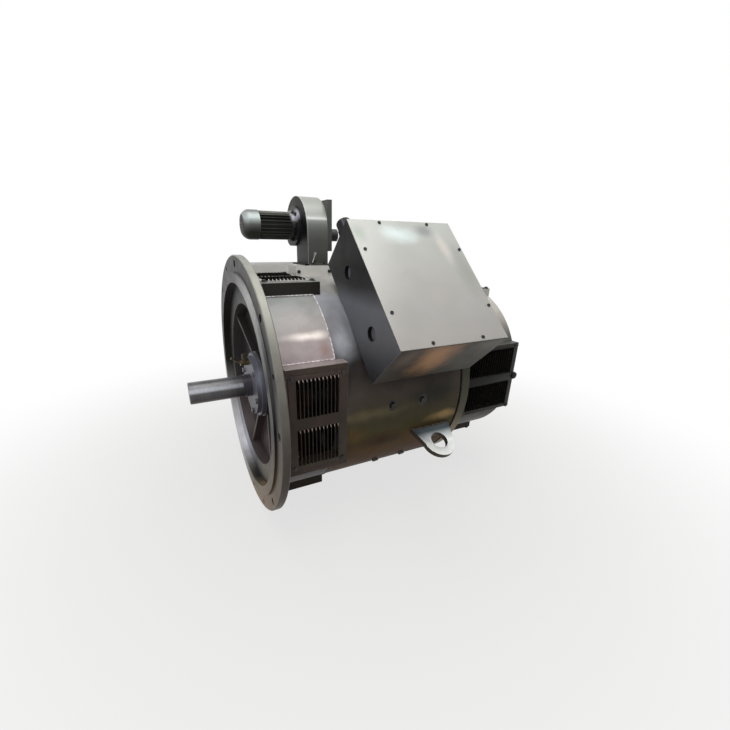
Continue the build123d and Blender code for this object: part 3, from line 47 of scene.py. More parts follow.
Point = tuple[float, float, float]
Tone = tuple[float, float, float]
Stops = Sequence[tuple[float, Tone]]
Border = tuple[float | None, float | None]
MM = 0.001
WHITE = (1, 1, 1, 1)
DUST = (0.45, 0.42, 0.38, 1)
EDGE_TURN = (0.02, 0.25)
RELIEF = 0.6


def linear(tone: Tone) -> Tone:
    """Turns screen tones of 0 to 255 into the linear colour that a shader takes."""
    parts = (value / 255 for value in tone)
    return tuple(part / 12.92 if part < 0.04045 else ((part + 0.055) / 1.055) ** 2.4 for part in parts)


def operation(how: str, swapped: bool = False) -> Callable[["Socket", "Value"], "Socket"]:
    """Makes a method that works on two values.

    Args:
        how: The Math node's operation.
        swapped: Whether the method's own socket is the second value.

    Returns:
        The method.
    """
    def method(self: "Socket", other: "Value") -> "Socket":
        """Adds the Math node."""
        first, second = (other, self) if swapped else (self, other)
        return self.graph.node("ShaderNodeMath", {"operation": how}, {0: first, 1: second})
    return method


class Socket:
    """The output of a shader node, which takes part in sums as a number does."""

    def __init__(self, graph: "Graph", output: bpy.types.NodeSocket) -> None:
        """Keeps the graph and the output that this value comes from."""
        self.graph = graph
        self.output = output

    __add__ = __radd__ = operation("ADD")
    __sub__ = operation("SUBTRACT")
    __rsub__ = operation("SUBTRACT", swapped=True)
    __mul__ = __rmul__ = operation("MULTIPLY")
    __truediv__ = operation("DIVIDE")
    __pow__ = operation("POWER")
    __gt__ = operation("GREATER_THAN")
    least = operation("MINIMUM")
    most = operation("MAXIMUM")

    def span(self, low: float, high: float) -> "Socket":
        """Rises smoothly from zero at low to one at high, and stays within the two."""
        return self.graph.node("ShaderNodeMapRange", {"interpolation_type": "SMOOTHSTEP"},
                               {"Value": self, "From Min": low, "From Max": high})


Value = Socket | float


class Graph:
    """The node tree of one material or world."""

    def __init__(self, owner: Owner) -> None:
        """Empties the tree of its owner.

        Args:
            owner: The material or world.
        """
        owner.use_nodes = True
        self.owner = owner
        self.tree = owner.node_tree
        self.tree.nodes.clear()
        self._axes: dict[str, Socket] = {}

    def node(self, kind: str, settings: dict | None = None, values: dict | None = None,
             output: int | str = 0) -> Socket:
        """Adds a node of any type.

        Args:
            kind: The node's type.
            settings: Its settings, which are set first; stops are a ramp's places and tones.
            values: A number, colour or Socket for each input, by its name or place.
            output: The output that is wanted.

        Returns:
            That output.
        """
        made = self.tree.nodes.new(kind)
        for key, value in (settings or {}).items():
            if key != "stops":
                setattr(made, key, value)
                continue
            while len(made.color_ramp.elements) < len(value):
                made.color_ramp.elements.new(0.5)
            for stop, (place, tone) in zip(made.color_ramp.elements, value):
                stop.position = place
                stop.color = (*linear(tone), 1)
        for key, value in (values or {}).items():
            if isinstance(value, Socket):
                self.tree.links.new(value.output, made.inputs[key])
            else:
                made.inputs[key].default_value = value
        return Socket(self, made.outputs[output])

    def place(self) -> Socket:
        """Gives the point of the surface in the shared frame, in metres."""
        return self.node("ShaderNodeTexCoord", output="Object")

    def axis(self, letter: str) -> Socket:
        """Gives one coordinate of the surface point, in metres.

        Args:
            letter: X, Y or Z.

        Returns:
            The coordinate.
        """
        if letter not in self._axes:
            self._axes[letter] = self.node("ShaderNodeSeparateXYZ", values={0: self.place()}, output=letter)
        return self._axes[letter]

    def noise(self, scale: float, detail: float = 3.0, stretch: Point = (1, 1, 1)) -> Socket:
        """Gives a soft random pattern round one half, with scale patches in a metre."""
        spot = self.vector("MULTIPLY", self.place(), stretch)
        return self.node("ShaderNodeTexNoise", {}, {"Vector": spot, "Scale": scale, "Detail": detail})

    def vector(self, how: str, first: Socket, second: Socket | Point = (0, 0, 0),
               output: int | str = 0) -> Socket:
        """Works on two vectors by the operation that is named."""
        return self.node("ShaderNodeVectorMath", {"operation": how}, {0: first, 1: second}, output)

    def ramp(self, value: Socket, stops: Stops) -> Socket:
        """Colours a value by the stops of a ramp."""
        return self.node("ShaderNodeValToRGB", {"stops": stops}, {0: value})

    def mix(self, share: Value, first: Socket | Tone, second: Socket | Tone,
            blend: str = "MIX") -> Socket:
        """Lays a share of the second colour over the first one."""
        colours = [c if isinstance(c, Socket) or len(c) == 4 else (*linear(c), 1) for c in (first, second)]
        return self.node("ShaderNodeMix", {"data_type": "RGBA", "blend_type": blend},
                         {0: share, 6: colours[0], 7: colours[1]}, 2)

    def marked(self, colour: Socket, marks: "Sequence[PaintedLight | Zone]") -> Socket:
        """Lays marks over a colour, each one over those before it.

        Args:
            colour: The colour below.
            marks: The marks.

        Returns:
            The marked colour.
        """
        for mark in marks:
            colour = self.mix(mark.mask(self), colour, mark.tone)
        return colour

    def apart(self, middle: Point, reach: Point) -> Socket:
        """Gives the distance from a place, measured in reaches."""
        scaled = self.vector("DIVIDE", self.vector("SUBTRACT", self.place(), middle), reach)
        return self.vector("LENGTH", scaled, output="Value")

    def edges(self, size: float) -> Socket:
        """Gives one on sharp edges, which are size metres wide, and zero on open faces."""
        normals = (self.node("ShaderNodeBevel", {"samples": 4}, {"Radius": size}),
                   self.node("ShaderNodeNewGeometry", output="Normal"))
        return (1.0 - self.vector("DOT_PRODUCT", *normals, "Value")).span(*EDGE_TURN)

    def seen(self) -> Socket:
        """Tells the camera, reflections and glass from the light that falls on the motor.

        Returns:
            One for the first three and zero for that light.
        """
        kinds = ("Is Camera Ray", "Is Glossy Ray", "Is Transmission Ray")
        camera, shine, through = (self.node("ShaderNodeLightPath", output=kind) for kind in kinds)
        return camera.most(shine).most(through)

    def close(self, colour: Socket, rough: Value, metallic: float, relief: Socket, depth: float,
              specular: float = 0.5) -> bpy.types.Material:
        """Ends a material in its shader, with a relief that is depth metres high."""
        bump = self.node("ShaderNodeBump", {}, {"Strength": RELIEF, "Distance": depth, "Height": relief})
        return self.end(self.node("ShaderNodeBsdfPrincipled", {}, {
            "Base Color": colour, "Roughness": rough, "Metallic": metallic, "Specular IOR Level": specular,
            "Normal": bump}))

    def end(self, shader: Socket, kind: str = "ShaderNodeOutputMaterial") -> Owner:
        """Links a shader to the tree's end and gives the tree's owner."""
        self.tree.links.new(shader.output, self.tree.nodes.new(kind).inputs["Surface"])
        return self.owner


def material_graph(name: str) -> Graph:
    """Starts a new material of this name."""
    return Graph(bpy.data.materials.new(name))


OPEN: Border = (None, None)


@dataclass(frozen=True)
class PaintedLight:
    """A soft patch of painted light or shade round one place: a highlight, reflection or shadow."""

    middle: Point
    reach: Point
    tone: Tone
    share: float = 0.8
    patches: float = 14.0
    ragged: float = 0.9
    fade: float = 1.1

    def mask(self, g: Graph) -> Socket:
        """Gives the share of this mark at each point, its border made uneven by a noise."""
        away = g.apart(self.middle, self.reach) + (g.noise(self.patches) - 0.5) * self.ragged
        return (1.0 - away.span(0.0, self.fade)) * self.share


@dataclass(frozen=True)
class Zone:
    """A box of the frame in which the paint takes another tone, most often painted light or shade; None
    leaves a side open.
    """

    tone: Tone
    share: float = 1.0
    soft: float = 0.001
    x: Border = OPEN
    y: Border = OPEN
    z: Border = OPEN

    def mask(self, g: Graph) -> Socket:
        """Gives the share of this mark at each point.

        Args:
            g: The graph of the finish.

        Returns:
            The share.
        """
        inside: Value = self.share
        for letter, (low, high) in zip("XYZ", (self.x, self.y, self.z)):
            if low is not None:
                inside = (g.axis(letter) - low).span(0.0, self.soft) * inside
            if high is not None:
                inside = (high - g.axis(letter)).span(0.0, self.soft) * inside
        return inside


@dataclass(frozen=True)
class Paint:
    """A sprayed satin paint with dust, stains and rubbed edges.

    The tones follow the height over the shaft's line: they are painted light
    and shade, lighter or darker by height as the light falls on the motor,
    with painted reflections in them. The edge tone is partly a painted highlight.
    """

    nodes: tuple[str, ...]
    heights: tuple[float, ...]
    tones: tuple[Tone, ...]
    edge: Tone
    marks: tuple[PaintedLight | Zone, ...] = ()
    edge_share: float = 0.6
    edge_size: float = 0.0016
    rough: float = 0.42
    metallic: float = 0.2
    mottle: float = 0.22
    patches: float = 22.0
    specks: float = 0.0
    specular: float = 0.16
    uneven: float = 0.10
    wave: float = 5.0
    dirt_level: float = 0.62
    dirt_turn: float = 0.3
    wear_and_highlight_patches: Pair = (0.3, 0.6)
    speck_scale: float = 420.0
    speck_level: float = 0.72
    gloss_change: float = 0.25
    grain_scale: float = 700.0
    grain: float = 0.00012

    def ground(self, g: Graph) -> Socket:
        """Gives the painted light and shade by height, its borders made uneven by a noise.

        Args:
            g: The graph of the finish.

        Returns:
            The colour.
        """
        low, high = self.heights[0], self.heights[-1]
        height = g.axis("Z") + (g.noise(self.wave, 2.0) - 0.5) * self.uneven
        places = [(h - low) / (high - low) for h in self.heights]
        return g.ramp((height - low) / (high - low), list(zip(places, self.tones)))

    def material(self, name: str) -> bpy.types.Material:
        """Builds the material.

        Args:
            name: Its name.

        Returns:
            The material.
        """
        g = material_graph(name)
        cloud = g.noise(self.patches, 4.0)
        dirt = (self.dirt_level - cloud).span(0.0, self.dirt_turn) * self.mottle
        colour = g.mix(dirt, g.marked(self.ground(g), self.marks), DUST, "MULTIPLY")
        # Rubbed edges, partly real and partly a painted highlight: the light edge tone is laid on sharp
        # edges in patches.
        wear_and_highlight = g.edges(self.edge_size) * self.edge_share * cloud.span(*self.wear_and_highlight_patches)
        colour = g.mix(wear_and_highlight, colour, self.edge)
        if self.specks:
            specks = g.noise(self.speck_scale, 1.0) > self.speck_level
            colour = g.mix(specks * self.specks, colour, self.edge)
        rough = self.rough + (cloud - 0.5) * self.gloss_change
        relief = g.noise(self.grain_scale, 2.0)
        return g.close(colour, rough, self.metallic, relief, self.grain, self.specular)


@dataclass(frozen=True)
class CastRings(Paint):
    """The shield's finish: each machined ring has its own tones round the shaft.

    The tones are painted light, shade and reflections, light and dark fans by
    angle as on a turned face. A ring has its inner radius and the stops of two
    ramps, which run from its bottom to its top, one on the near half and one
    on the far half.
    """

    rings: tuple[tuple[float, Stops, Stops], ...] = ()
    wobble: float = 4.0
    ragged: float = 0.08
    seam: float = 0.15

    def ground(self, g: Graph) -> Socket:
        """Gives the painted light and shade ring by ring, outwards.

        Args:
            g: The graph of the finish.

        Returns:
            The colour.
        """
        radius = (g.axis("Y") ** 2 + g.axis("Z") ** 2) ** 0.5
        height = g.axis("Z") / radius
        turn = g.node("ShaderNodeMath", {"operation": "ARCSINE"}, {0: height.least(1.0).most(-1.0)})
        share = turn / math.pi + 0.5 + (g.noise(self.wobble, 2.0) - 0.5) * self.ragged
        near = (0.0 - g.axis("Y") / radius).span(-self.seam, self.seam)
        colour = super().ground(g)
        for start, near_stops, far_stops in self.rings:
            both = g.mix(near, g.ramp(share, far_stops), g.ramp(share, near_stops))
            colour = g.mix(radius > start, colour, both)
        return colour


@dataclass(frozen=True)
class Metal:
    """A bare metal with fine tool marks or cast grain."""

    nodes: tuple[str, ...]
    colour: Tone
    shade: Tone
    rough: float = 0.3
    metallic: float = 1.0
    lines: Point = (1.0, 1.0, 1.0)
    scale: float = 90.0
    grain: float = 0.00005
    marks: tuple[Zone, ...] = ()
    stain_scale: float = 18.0
    stains: Pair = (0.35, 0.7)
    gloss_change: float = 0.3

    def material(self, name: str) -> bpy.types.Material:
        """Builds the material.

        Args:
            name: Its name.

        Returns:
            The material.
        """
        g = material_graph(name)
        grooves = g.noise(self.scale, 4.0, self.lines)
        stain = g.noise(self.stain_scale).span(*self.stains)
        colour = g.marked(g.mix(stain, self.colour, self.shade), self.marks)
        rough = self.rough + (grooves - 0.5) * self.gloss_change
        return g.close(colour, rough, self.metallic, grooves, self.grain)


@dataclass(frozen=True)
class Moulded:
    """Rubber, moulded plastic, varnish or carbon, with a fine grain."""

    nodes: tuple[str, ...]
    colour: Tone
    shade: Tone
    rough: float = 0.5
    cloud_scale: float = 25.0
    clouds: Pair = (0.3, 0.7)
    gloss_change: float = 0.2
    grain_scale: float = 300.0
    grain: float = 0.0001

    def material(self, name: str) -> bpy.types.Material:
        """Builds the material.

        Args:
            name: Its name.

        Returns:
            The material.
        """
        g = material_graph(name)
        cloud = g.noise(self.cloud_scale)
        colour = g.mix(cloud.span(*self.clouds), self.colour, self.shade)
        rough = self.rough + (cloud - 0.5) * self.gloss_change
        return g.close(colour, rough, 0.0, g.noise(self.grain_scale, 2.0), self.grain)


@dataclass(frozen=True)
class Laminated:
    """Stacked steel sheets, whose edges show as fine lines along X."""

    nodes: tuple[str, ...]
    colour: Tone
    shade: Tone
    lines: float = 320.0
    line_share: float = 0.7
    stain_scale: float = 40.0
    stain_share: float = 0.3
    rough: float = 0.5
    metallic: float = 0.7
    grain: float = 0.0002

    def material(self, name: str) -> bpy.types.Material:
        """Builds the material.

        Args:
            name: Its name.

        Returns:
            The material.
        """
        g = material_graph(name)
        wave = g.node("ShaderNodeTexWave", {"bands_direction": "X"},
                      {"Vector": g.place(), "Scale": self.lines}, 1)
        share = wave * self.line_share + g.noise(self.stain_scale) * self.stain_share
        colour = g.mix(share, self.colour, self.shade)
        return g.close(colour, self.rough, self.metallic, wave, self.grain)


def on_box(x: float, radius: float, across: float) -> Point:
    """Turns a place on the terminal box, in millimetres, into metres of the shared frame."""
    root = math.sqrt(2) * 1000
    return x / 1000, (across - radius) / root, (across + radius) / root


class Coat(Enum):
    """The finishes: nodes that they coat, tones of a screen and places in metres."""

    # Drive-end housing: painted light and shade by height, dark brown below and light on top.
    DRIVE_HOUSING = Paint(
        ("drive_end_housing",), (-0.5, -0.2, 0.0, 0.185, 0.22, 0.26, 0.35, 0.45),
        ((34, 24, 14), (44, 33, 23), (70, 60, 56), (166, 154, 156), (172, 160, 160), (160, 152, 150),
         (140, 142, 140), (154, 155, 151)),
        (206, 204, 202), specks=0.3, marks=(
            # A bright painted highlight, a pinkish painted highlight and a dark painted reflection on the
            # near quadrant.
            PaintedLight((0.15, -0.325, 0.261), (0.11, 0.05, 0.018), (248, 238, 230), 0.95),
            PaintedLight((0.20, -0.36, 0.22), (0.03, 0.05, 0.05), (150, 122, 116)),
            PaintedLight((0.19, -0.25, 0.335), (0.04, 0.06, 0.05), (122, 120, 118), 0.7),
            # Painted shade on the near window frame and on the top frame's front, and a painted highlight on
            # the near frame's top edge.
            Zone((72, 60, 54), x=(0.04, 0.26), y=(-0.42, -0.36), z=(-0.189, 0.1885)),
            Zone((44, 42, 38), x=(0.04, 0.26), y=(-0.1895, -0.1865), z=(0.3, 0.4175)),
            Zone((150, 140, 136), 0.6, x=(0.04, 0.26), y=(-0.42, -0.36), z=(0.186, 0.1895))))
    # Yoke: painted light and shade by height, brown below and pale on top.
    YOKE = Paint(
        ("yoke",), (-0.45, -0.28, -0.19, -0.10, 0.05, 0.17, 0.25, 0.36, 0.385, 0.42),
        ((54, 33, 18), (76, 50, 28), (94, 70, 40), (84, 78, 54), (84, 77, 70), (62, 58, 58), (124, 123, 126),
         (150, 152, 158), (152, 151, 147), (156, 154, 149)),
        (170, 166, 158), edge_share=0.4, metallic=0.1, specular=0.05, rough=0.5, marks=(
            # A painted highlight by the box, painted shade under the box and along the middle, painted
            # sheens and floor reflections low down with painted shade beneath them.
            PaintedLight((0.27, -0.35, 0.23), (0.05, 0.08, 0.10), (186, 189, 196), 0.7),
            PaintedLight((0.30, -0.30, 0.28), (0.02, 0.08, 0.08), (112, 112, 116), 0.6),
            PaintedLight((0.62, -0.41, 0.02), (0.14, 0.06, 0.10), (54, 53, 49)),
            PaintedLight((0.37, -0.415, -0.018), (0.22, 0.06, 0.030), (112, 104, 78), 0.9),
            PaintedLight((0.28, -0.41, -0.10), (0.07, 0.06, 0.045), (110, 86, 56)),
            PaintedLight((0.41, -0.39, -0.15), (0.12, 0.06, 0.05), (60, 40, 24), 0.9),
            PaintedLight((0.69, -0.405, -0.088), (0.11, 0.05, 0.03), (176, 148, 104), 1.0)))
    # Painted light and shade by height, and a near-black band of painted shadow along the ring's drive-end
    # side.
    RING = Paint(
        ("commutator_end_ring",), (-0.45, -0.2, -0.1, 0.1, 0.42),
        ((120, 104, 84), (160, 142, 114), (88, 84, 68), (54, 56, 46), (150, 150, 144)),
        (176, 166, 150), uneven=0.03, marks=(
            Zone((13, 13, 12), 1.0, 0.0006, x=(0.70, 0.7605)),))
    # Painted light and shade by height: dark below, pale on top.
    BRUSH_HOUSING = Paint(
        ("commutator_end_housing", "commutator_end_outer_cap", "commutator_end_inner_cap"),
        (-0.45, -0.2, 0.0, 0.16, 0.26),
        ((34, 26, 16), (34, 29, 21), (40, 40, 35), (76, 76, 70), (194, 190, 181)),
        (150, 148, 140), edge_share=0.5)
    # Painted light and shade by height, and a painted bluish highlight on the cap's upper sides.
    CAP = Paint(
        ("drive_end_outer_cap", "drive_end_inner_cap", "drive_end_cap_bolts"),
        (-0.15, 0.15), ((88, 85, 94), (118, 121, 129)),
        (190, 196, 206), edge_share=0.4, marks=(
            PaintedLight((0.035, -0.11, 0.07), (0.02, 0.05, 0.07), (160, 166, 184), 0.9),))
    # Painted light and shade by height, and painted light, shade and reflections ring by ring in light and
    # dark fans round the shaft.
    SHIELD = CastRings(
        ("drive_end_shield",), (-0.34, -0.15, 0.05, 0.20, 0.34),
        ((80, 70, 70), (72, 63, 64), (52, 50, 51), (58, 56, 55), (66, 63, 60)),
        (180, 180, 178), edge_share=0.18, uneven=0.04, rings=(
            (0.3255,
             ((0.0, (70, 70, 70)), (0.17, (95, 85, 70)), (0.33, (50, 45, 35)), (0.5, (30, 25, 25)),
              (1.0, (25, 25, 25))),
             ((0.0, (80, 75, 75)), (0.17, (190, 195, 210)), (0.33, (125, 125, 135)), (0.5, (50, 50, 50)),
              (1.0, (25, 25, 25)))),
            (0.3895,
             ((0.0, (35, 35, 30)), (0.17, (65, 60, 50)), (0.67, (40, 35, 35)), (1.0, (70, 70, 65))),
             ((0.0, (35, 35, 30)), (0.17, (170, 175, 185)), (0.5, (35, 35, 35)), (0.83, (20, 20, 20)),
              (1.0, (60, 60, 55)))),
            (0.4028,
             ((0.0, (110, 100, 80)), (0.17, (125, 105, 75)), (0.5, (20, 20, 20)), (0.67, (105, 105, 105)),
              (0.83, (190, 190, 190)), (1.0, (60, 60, 60))),
             ((0.0, (100, 95, 85)), (0.17, (230, 230, 235)), (0.33, (190, 190, 190)), (0.5, (50, 50, 45)),
              (0.67, (35, 30, 30)), (1.0, (75, 70, 70)))),
            (0.4404,
             ((0.0, (150, 120, 85)), (0.33, (95, 80, 60)), (0.5, (85, 80, 80)), (0.67, (35, 35, 35)),
              (0.83, (50, 50, 45)), (1.0, (35, 30, 30))),
             ((0.0, (150, 120, 85)), (0.17, (135, 130, 125)), (0.33, (110, 110, 110)), (0.5, (30, 30, 30)),
              (0.67, (25, 20, 20)), (0.83, (50, 50, 50)), (1.0, (35, 30, 30)))),
            (0.4962,
             ((0.0, (110, 85, 60)), (0.33, (70, 55, 45)), (0.5, (95, 90, 85)), (0.83, (160, 160, 150)),
              (1.0, (140, 140, 135))),
             ((0.0, (95, 80, 65)), (0.17, (60, 55, 50)), (0.33, (55, 50, 50)), (0.5, (65, 65, 60)),
              (0.83, (150, 150, 140)), (1.0, (135, 135, 130))))),
        # A dark painted reflection low in the spigot's recess.
        marks=(
            PaintedLight((0.012, -0.045, -0.400), (0.04, 0.15, 0.035), (18, 22, 28), 1.0),))
    # Painted light and shade by height, lightest on the top cover's face.
    WINDOW = Paint(
        ("drive_end_cover_near", "drive_end_cover_top", "drive_end_cover_far", "drive_end_cover_bottom"),
        (-0.45, -0.16, 0.0, 0.16, 0.40, 0.424),
        ((52, 46, 38), (72, 64, 54), (64, 54, 48), (72, 60, 56), (84, 84, 82), (176, 176, 172)),
        (200, 190, 180), mottle=0.3, rough=0.36, edge_share=0.35, edge_size=0.0009)
    # Painted light and shade by height, lightest on the top cover's face.
    BRUSH_WINDOW = Paint(
        ("commutator_end_cover_near", "commutator_end_cover_far", "commutator_end_plain_covers"),
        (-0.36, 0.0, 0.34, 0.362), ((40, 38, 30), (34, 34, 32), (44, 44, 40), (150, 150, 146)),
        (150, 148, 136), mottle=0.3, rough=0.4, edge_size=0.0009, marks=(
            Zone((26, 26, 22), x=(0.83, 1.2), y=(-0.5, -0.362), z=(-0.0175, 0.0175)),))
    # Painted light and shade by height on the drive-end wall: a bluish painted highlight in the middle, dark
    # above and below.
    BOX_WALL = Paint(
        ("terminal_box",), (0.10, 0.16, 0.28, 0.36, 0.42, 0.48, 0.62),
        ((40, 41, 42), (66, 67, 70), (110, 112, 117), (118, 121, 127), (62, 61, 63), (28, 26, 26),
         (24, 22, 22)),
        (150, 148, 148), uneven=0.03, mottle=0.12, marks=(
            # Painted shade with floor reflection on the lower wall, with a warm painted reflection and paler
            # painted streaks on it.
            Zone((62, 54, 44), 1.0, 0.003, x=(0.316, None), z=(None, 0.31)),
            Zone((62, 58, 45), 0.9, 0.03, x=(0.545, None), z=(None, 0.31)),
            PaintedLight(on_box(482, 560, -247), (0.10, 0.16, 0.16), (190, 142, 98), 1.0),
            PaintedLight(on_box(365, 570, -247), (0.05, 0.07, 0.07), (122, 104, 94), 0.7),
            PaintedLight(on_box(670, 600, -247), (0.08, 0.05, 0.05), (112, 106, 92), 0.7)))
    # A slight painted gradient, lighter upwards, and soft light and dark painted reflections on the cover.
    BOX_COVER = Paint(
        ("terminal_box_cover",),
        (0.1, 0.3, 0.45, 0.62), ((172, 168, 162), (176, 173, 169), (178, 177, 172), (184, 186, 180)),
        (226, 226, 222), mottle=0.08, patches=9.0, rough=0.34, metallic=0.1, uneven=0.03, marks=(
            PaintedLight(on_box(490, 628, 185), (0.09, 0.05, 0.05), (222, 234, 232), 0.9),
            PaintedLight(on_box(602, 628, 205), (0.05, 0.035, 0.04), (146, 150, 148), 0.9),
            PaintedLight(on_box(652, 628, 130), (0.03, 0.09, 0.09), (214, 208, 200)),
            PaintedLight(on_box(335, 628, 190), (0.04, 0.05, 0.05), (158, 164, 154)),
            PaintedLight(on_box(560, 628, -60), (0.10, 0.10, 0.10), (184, 180, 174), 0.5),
            PaintedLight(on_box(700, 628, 20), (0.05, 0.14, 0.14), (158, 160, 152))))
    # Painted light and shade by height: a pale lit plate, darkening into painted shade at the root under the
    # yoke.
    LUG = Paint(
        ("lifting_lug_near", "lifting_lug_far"),
        (-0.30, -0.168, -0.154, -0.142), ((238, 240, 236), (236, 238, 235), (186, 192, 194), (80, 88, 92)),
        (240, 240, 236), uneven=0.006, mottle=0.12, metallic=0.85, rough=0.42)
    # The lug's rim: a darker copy of the lug's paint, painted shade on the rim faces.
    LUG_EDGE = Paint((), (-0.30, -0.13), ((60, 52, 42), (70, 60, 50)), (150, 146, 140))
    # Painted light and shade by height, with a painted highlight stripe on the volute's band.
    BLOWER_CASE = Paint(
        ("blower_volute",), (0.46, 0.555, 0.612, 0.628, 0.6365, 0.645, 0.655, 0.73),
        ((84, 84, 80), (98, 100, 96), (122, 124, 120), (146, 148, 144), (226, 230, 228), (178, 180, 176),
         (162, 164, 159), (158, 160, 154)),
        (150, 150, 144), uneven=0.003, mottle=0.1, patches=14.0, edge_share=0.4, marks=(
            # A painted highlight on the front rim, painted shade on the front face and a dark painted
            # reflection on it.
            Zone((190, 192, 188), 0.6, 0.0008, x=(0.3215, 0.3245)),
            Zone((13, 12, 10), 1.0, 0.0005, x=(None, 0.3198)),
            PaintedLight((0.318, 0.19, 0.60), (0.01, 0.05, 0.07), (34, 36, 46))))
    # Painted light and shade by height; painted shade on the flange and a painted highlight on its upper
    # rim.
    BLOWER_MOTOR = Paint(
        ("blower_motor_frame",), (0.545, 0.57, 0.585, 0.61, 0.645, 0.654, 0.668),
        ((74, 74, 71), (92, 92, 88), (66, 67, 64), (48, 49, 46), (46, 48, 45), (150, 150, 145),
         (158, 158, 153)),
        (150, 152, 150), uneven=0.003, mottle=0.1, edge_share=0.25, marks=(
            Zone((30, 29, 32), 0.85, 0.004, x=(0.3005, 0.33)),
            PaintedLight((0.309, 0.200, 0.652), (0.03, 0.040, 0.030), (226, 226, 238), 1.0)))
    # Painted light and shade by height with a light painted band, and painted shade on the dome's end.
    COWL = Paint(
        ("blower_fan_cowl",), (0.55, 0.58, 0.61, 0.635, 0.655, 0.668),
        ((38, 39, 36), (60, 61, 56), (104, 104, 102), (178, 188, 186), (150, 154, 154), (84, 84, 84)),
        (170, 172, 170), uneven=0.004, mottle=0.1, marks=(
            Zone((52, 48, 46), 1.0, 0.002, x=(None, 0.0905)),))
    # Painted light and shade by height, a little lighter on top.
    INLET = Paint(("blower_inlet_box",), (0.5, 0.7), ((80, 82, 77), (94, 96, 91)), (130, 130, 124))
    # Painted light and shade by height, lightest near the top.
    DUCT = Paint(
        ("air_duct",),
        (0.25, 0.40, 0.4535, 0.4548), ((150, 148, 142), (228, 226, 220), (228, 226, 220), (186, 184, 178)),
        (214, 214, 210), mottle=0.12, uneven=0.0006)
    # Painted light and shade by height, dark brown below and light on top, like the paint round the seams.
    WELD = Paint(
        (), (-0.5, 0.0, 0.2, 0.45), ((80, 66, 52), (84, 74, 66), (210, 200, 202), (206, 206, 204)),
        (226, 224, 222), mottle=0.7, patches=45.0, uneven=0.02)
    SHAFT_STEEL = Metal(
        ("shaft",), (92, 91, 93), (72, 69, 70), 0.30, metallic=0.35, lines=(1.0, 0.05, 0.05), scale=500.0,
        grain=0.00001, marks=(
            # A painted highlight streak along the top and painted shade on the underside; the slate band at
            # the root is paint.
            Zone((210, 214, 222), 0.7, 0.01, z=(0.006, 0.030)),
            Zone((54, 44, 42), 0.9, 0.022, z=(None, -0.006)),
            Zone((78, 75, 82), 1.0, 0.002, x=(-0.014, None))))
    # Near-black painted shade on the louvre hoods, for the shade in and between the louvres.
    LOUVRE = Paint(
        (), (-0.5, 0.5), ((20, 18, 16), (22, 21, 19)),
        (90, 84, 76), rough=0.6, edge_share=0.16, edge_size=0.0005, specular=0.1, metallic=0.0, mottle=0.1,
        marks=(
            # Painted highlights on the upper ends of the near cover's hoods and on the near ends of the top
            # cover's hoods.
            Zone((196, 176, 168), 0.9, x=(None, 0.3), y=(-0.5, -0.4212), z=(0.1445, 0.153)),
            Zone((190, 172, 160), 0.9, x=(None, 0.3), y=(-0.5, -0.4212), z=(-0.0285, -0.018)),
            Zone((252, 246, 242), x=(None, 0.3), y=(-0.153, -0.1435), z=(0.4212, 0.5))))
    YELLOW_ZINC = Metal(("grease_nipple",), (104, 88, 56), (70, 66, 56), 0.4, metallic=0.6)
    STEEL = Metal(
        ("drive_end_outer_race", "drive_end_inner_race", "commutator_end_outer_race",
         "commutator_end_inner_race", "blower_shaft", "blower_impeller", "brush_arms"),
        (176, 176, 174), (140, 138, 136), 0.3, lines=(0.3, 1.0, 1.0))
    DARK_STEEL = Metal(
        ("commutator_end_cap_bolts", "frame_bolts", "pole_bolts", "main_poles", "interpoles",
         "drive_end_cover_bolts", "commutator_end_cover_bolts", "blower_bolts", "brush_rocker"),
        (62, 58, 54), (40, 38, 36), 0.45, metallic=0.6)
    BLACK_OXIDE = Metal(("terminal_box_screws",), (17, 17, 17), (12, 12, 12), 0.6, metallic=0.2)
    ZINC = Metal(("terminal_studs",), (190, 188, 176), (150, 146, 130), 0.34)
    BRASS = Metal(("brush_holders",), (182, 160, 96), (128, 108, 66), 0.34)
    COPPER = Metal(("commutator",), (196, 128, 92), (140, 84, 56), 0.3, lines=(0.3, 1.0, 1.0))
    CORE = Laminated(("armature_core",), (120, 120, 118), (60, 58, 56))
    VARNISH = Moulded(
        ("armature_winding", "field_coils", "interpole_coils"), (52, 26, 16), (34, 17, 11), 0.35)
    INSULATION = Moulded(("terminal_board",), (190, 178, 140), (150, 138, 100), 0.6)
    CARBON = Moulded(
        ("brush_near", "brush_top", "brush_far", "brush_bottom"),
        (38, 38, 40), (22, 22, 24), 0.55)
    RUBBER = Moulded((), (34, 33, 32), (24, 24, 24), 0.7)
    # Painted light on each plug's floor against the shade of its recess, painted shadow on the recess wall
    # and painted shade behind the floor.
    PLUG = Paint(
        ("cable_entry_plugs",), (0.0, 0.7), ((70, 70, 80), (70, 68, 74)),
        (60, 60, 64), rough=0.5, marks=(
            Zone((128, 128, 136), 1.0, 0.0003, x=(0.3268, 0.3295), z=(None, 0.50)),
            Zone((26, 25, 26), 1.0, 0.0003, x=(None, 0.3268)),
            Zone((30, 29, 29), 1.0, 0.0006, x=(0.3315, None))))
    BLACK = Moulded(("blower_cooling_fan", "blower_pressure_switch"), (30, 30, 30), (20, 20, 20), 0.45)


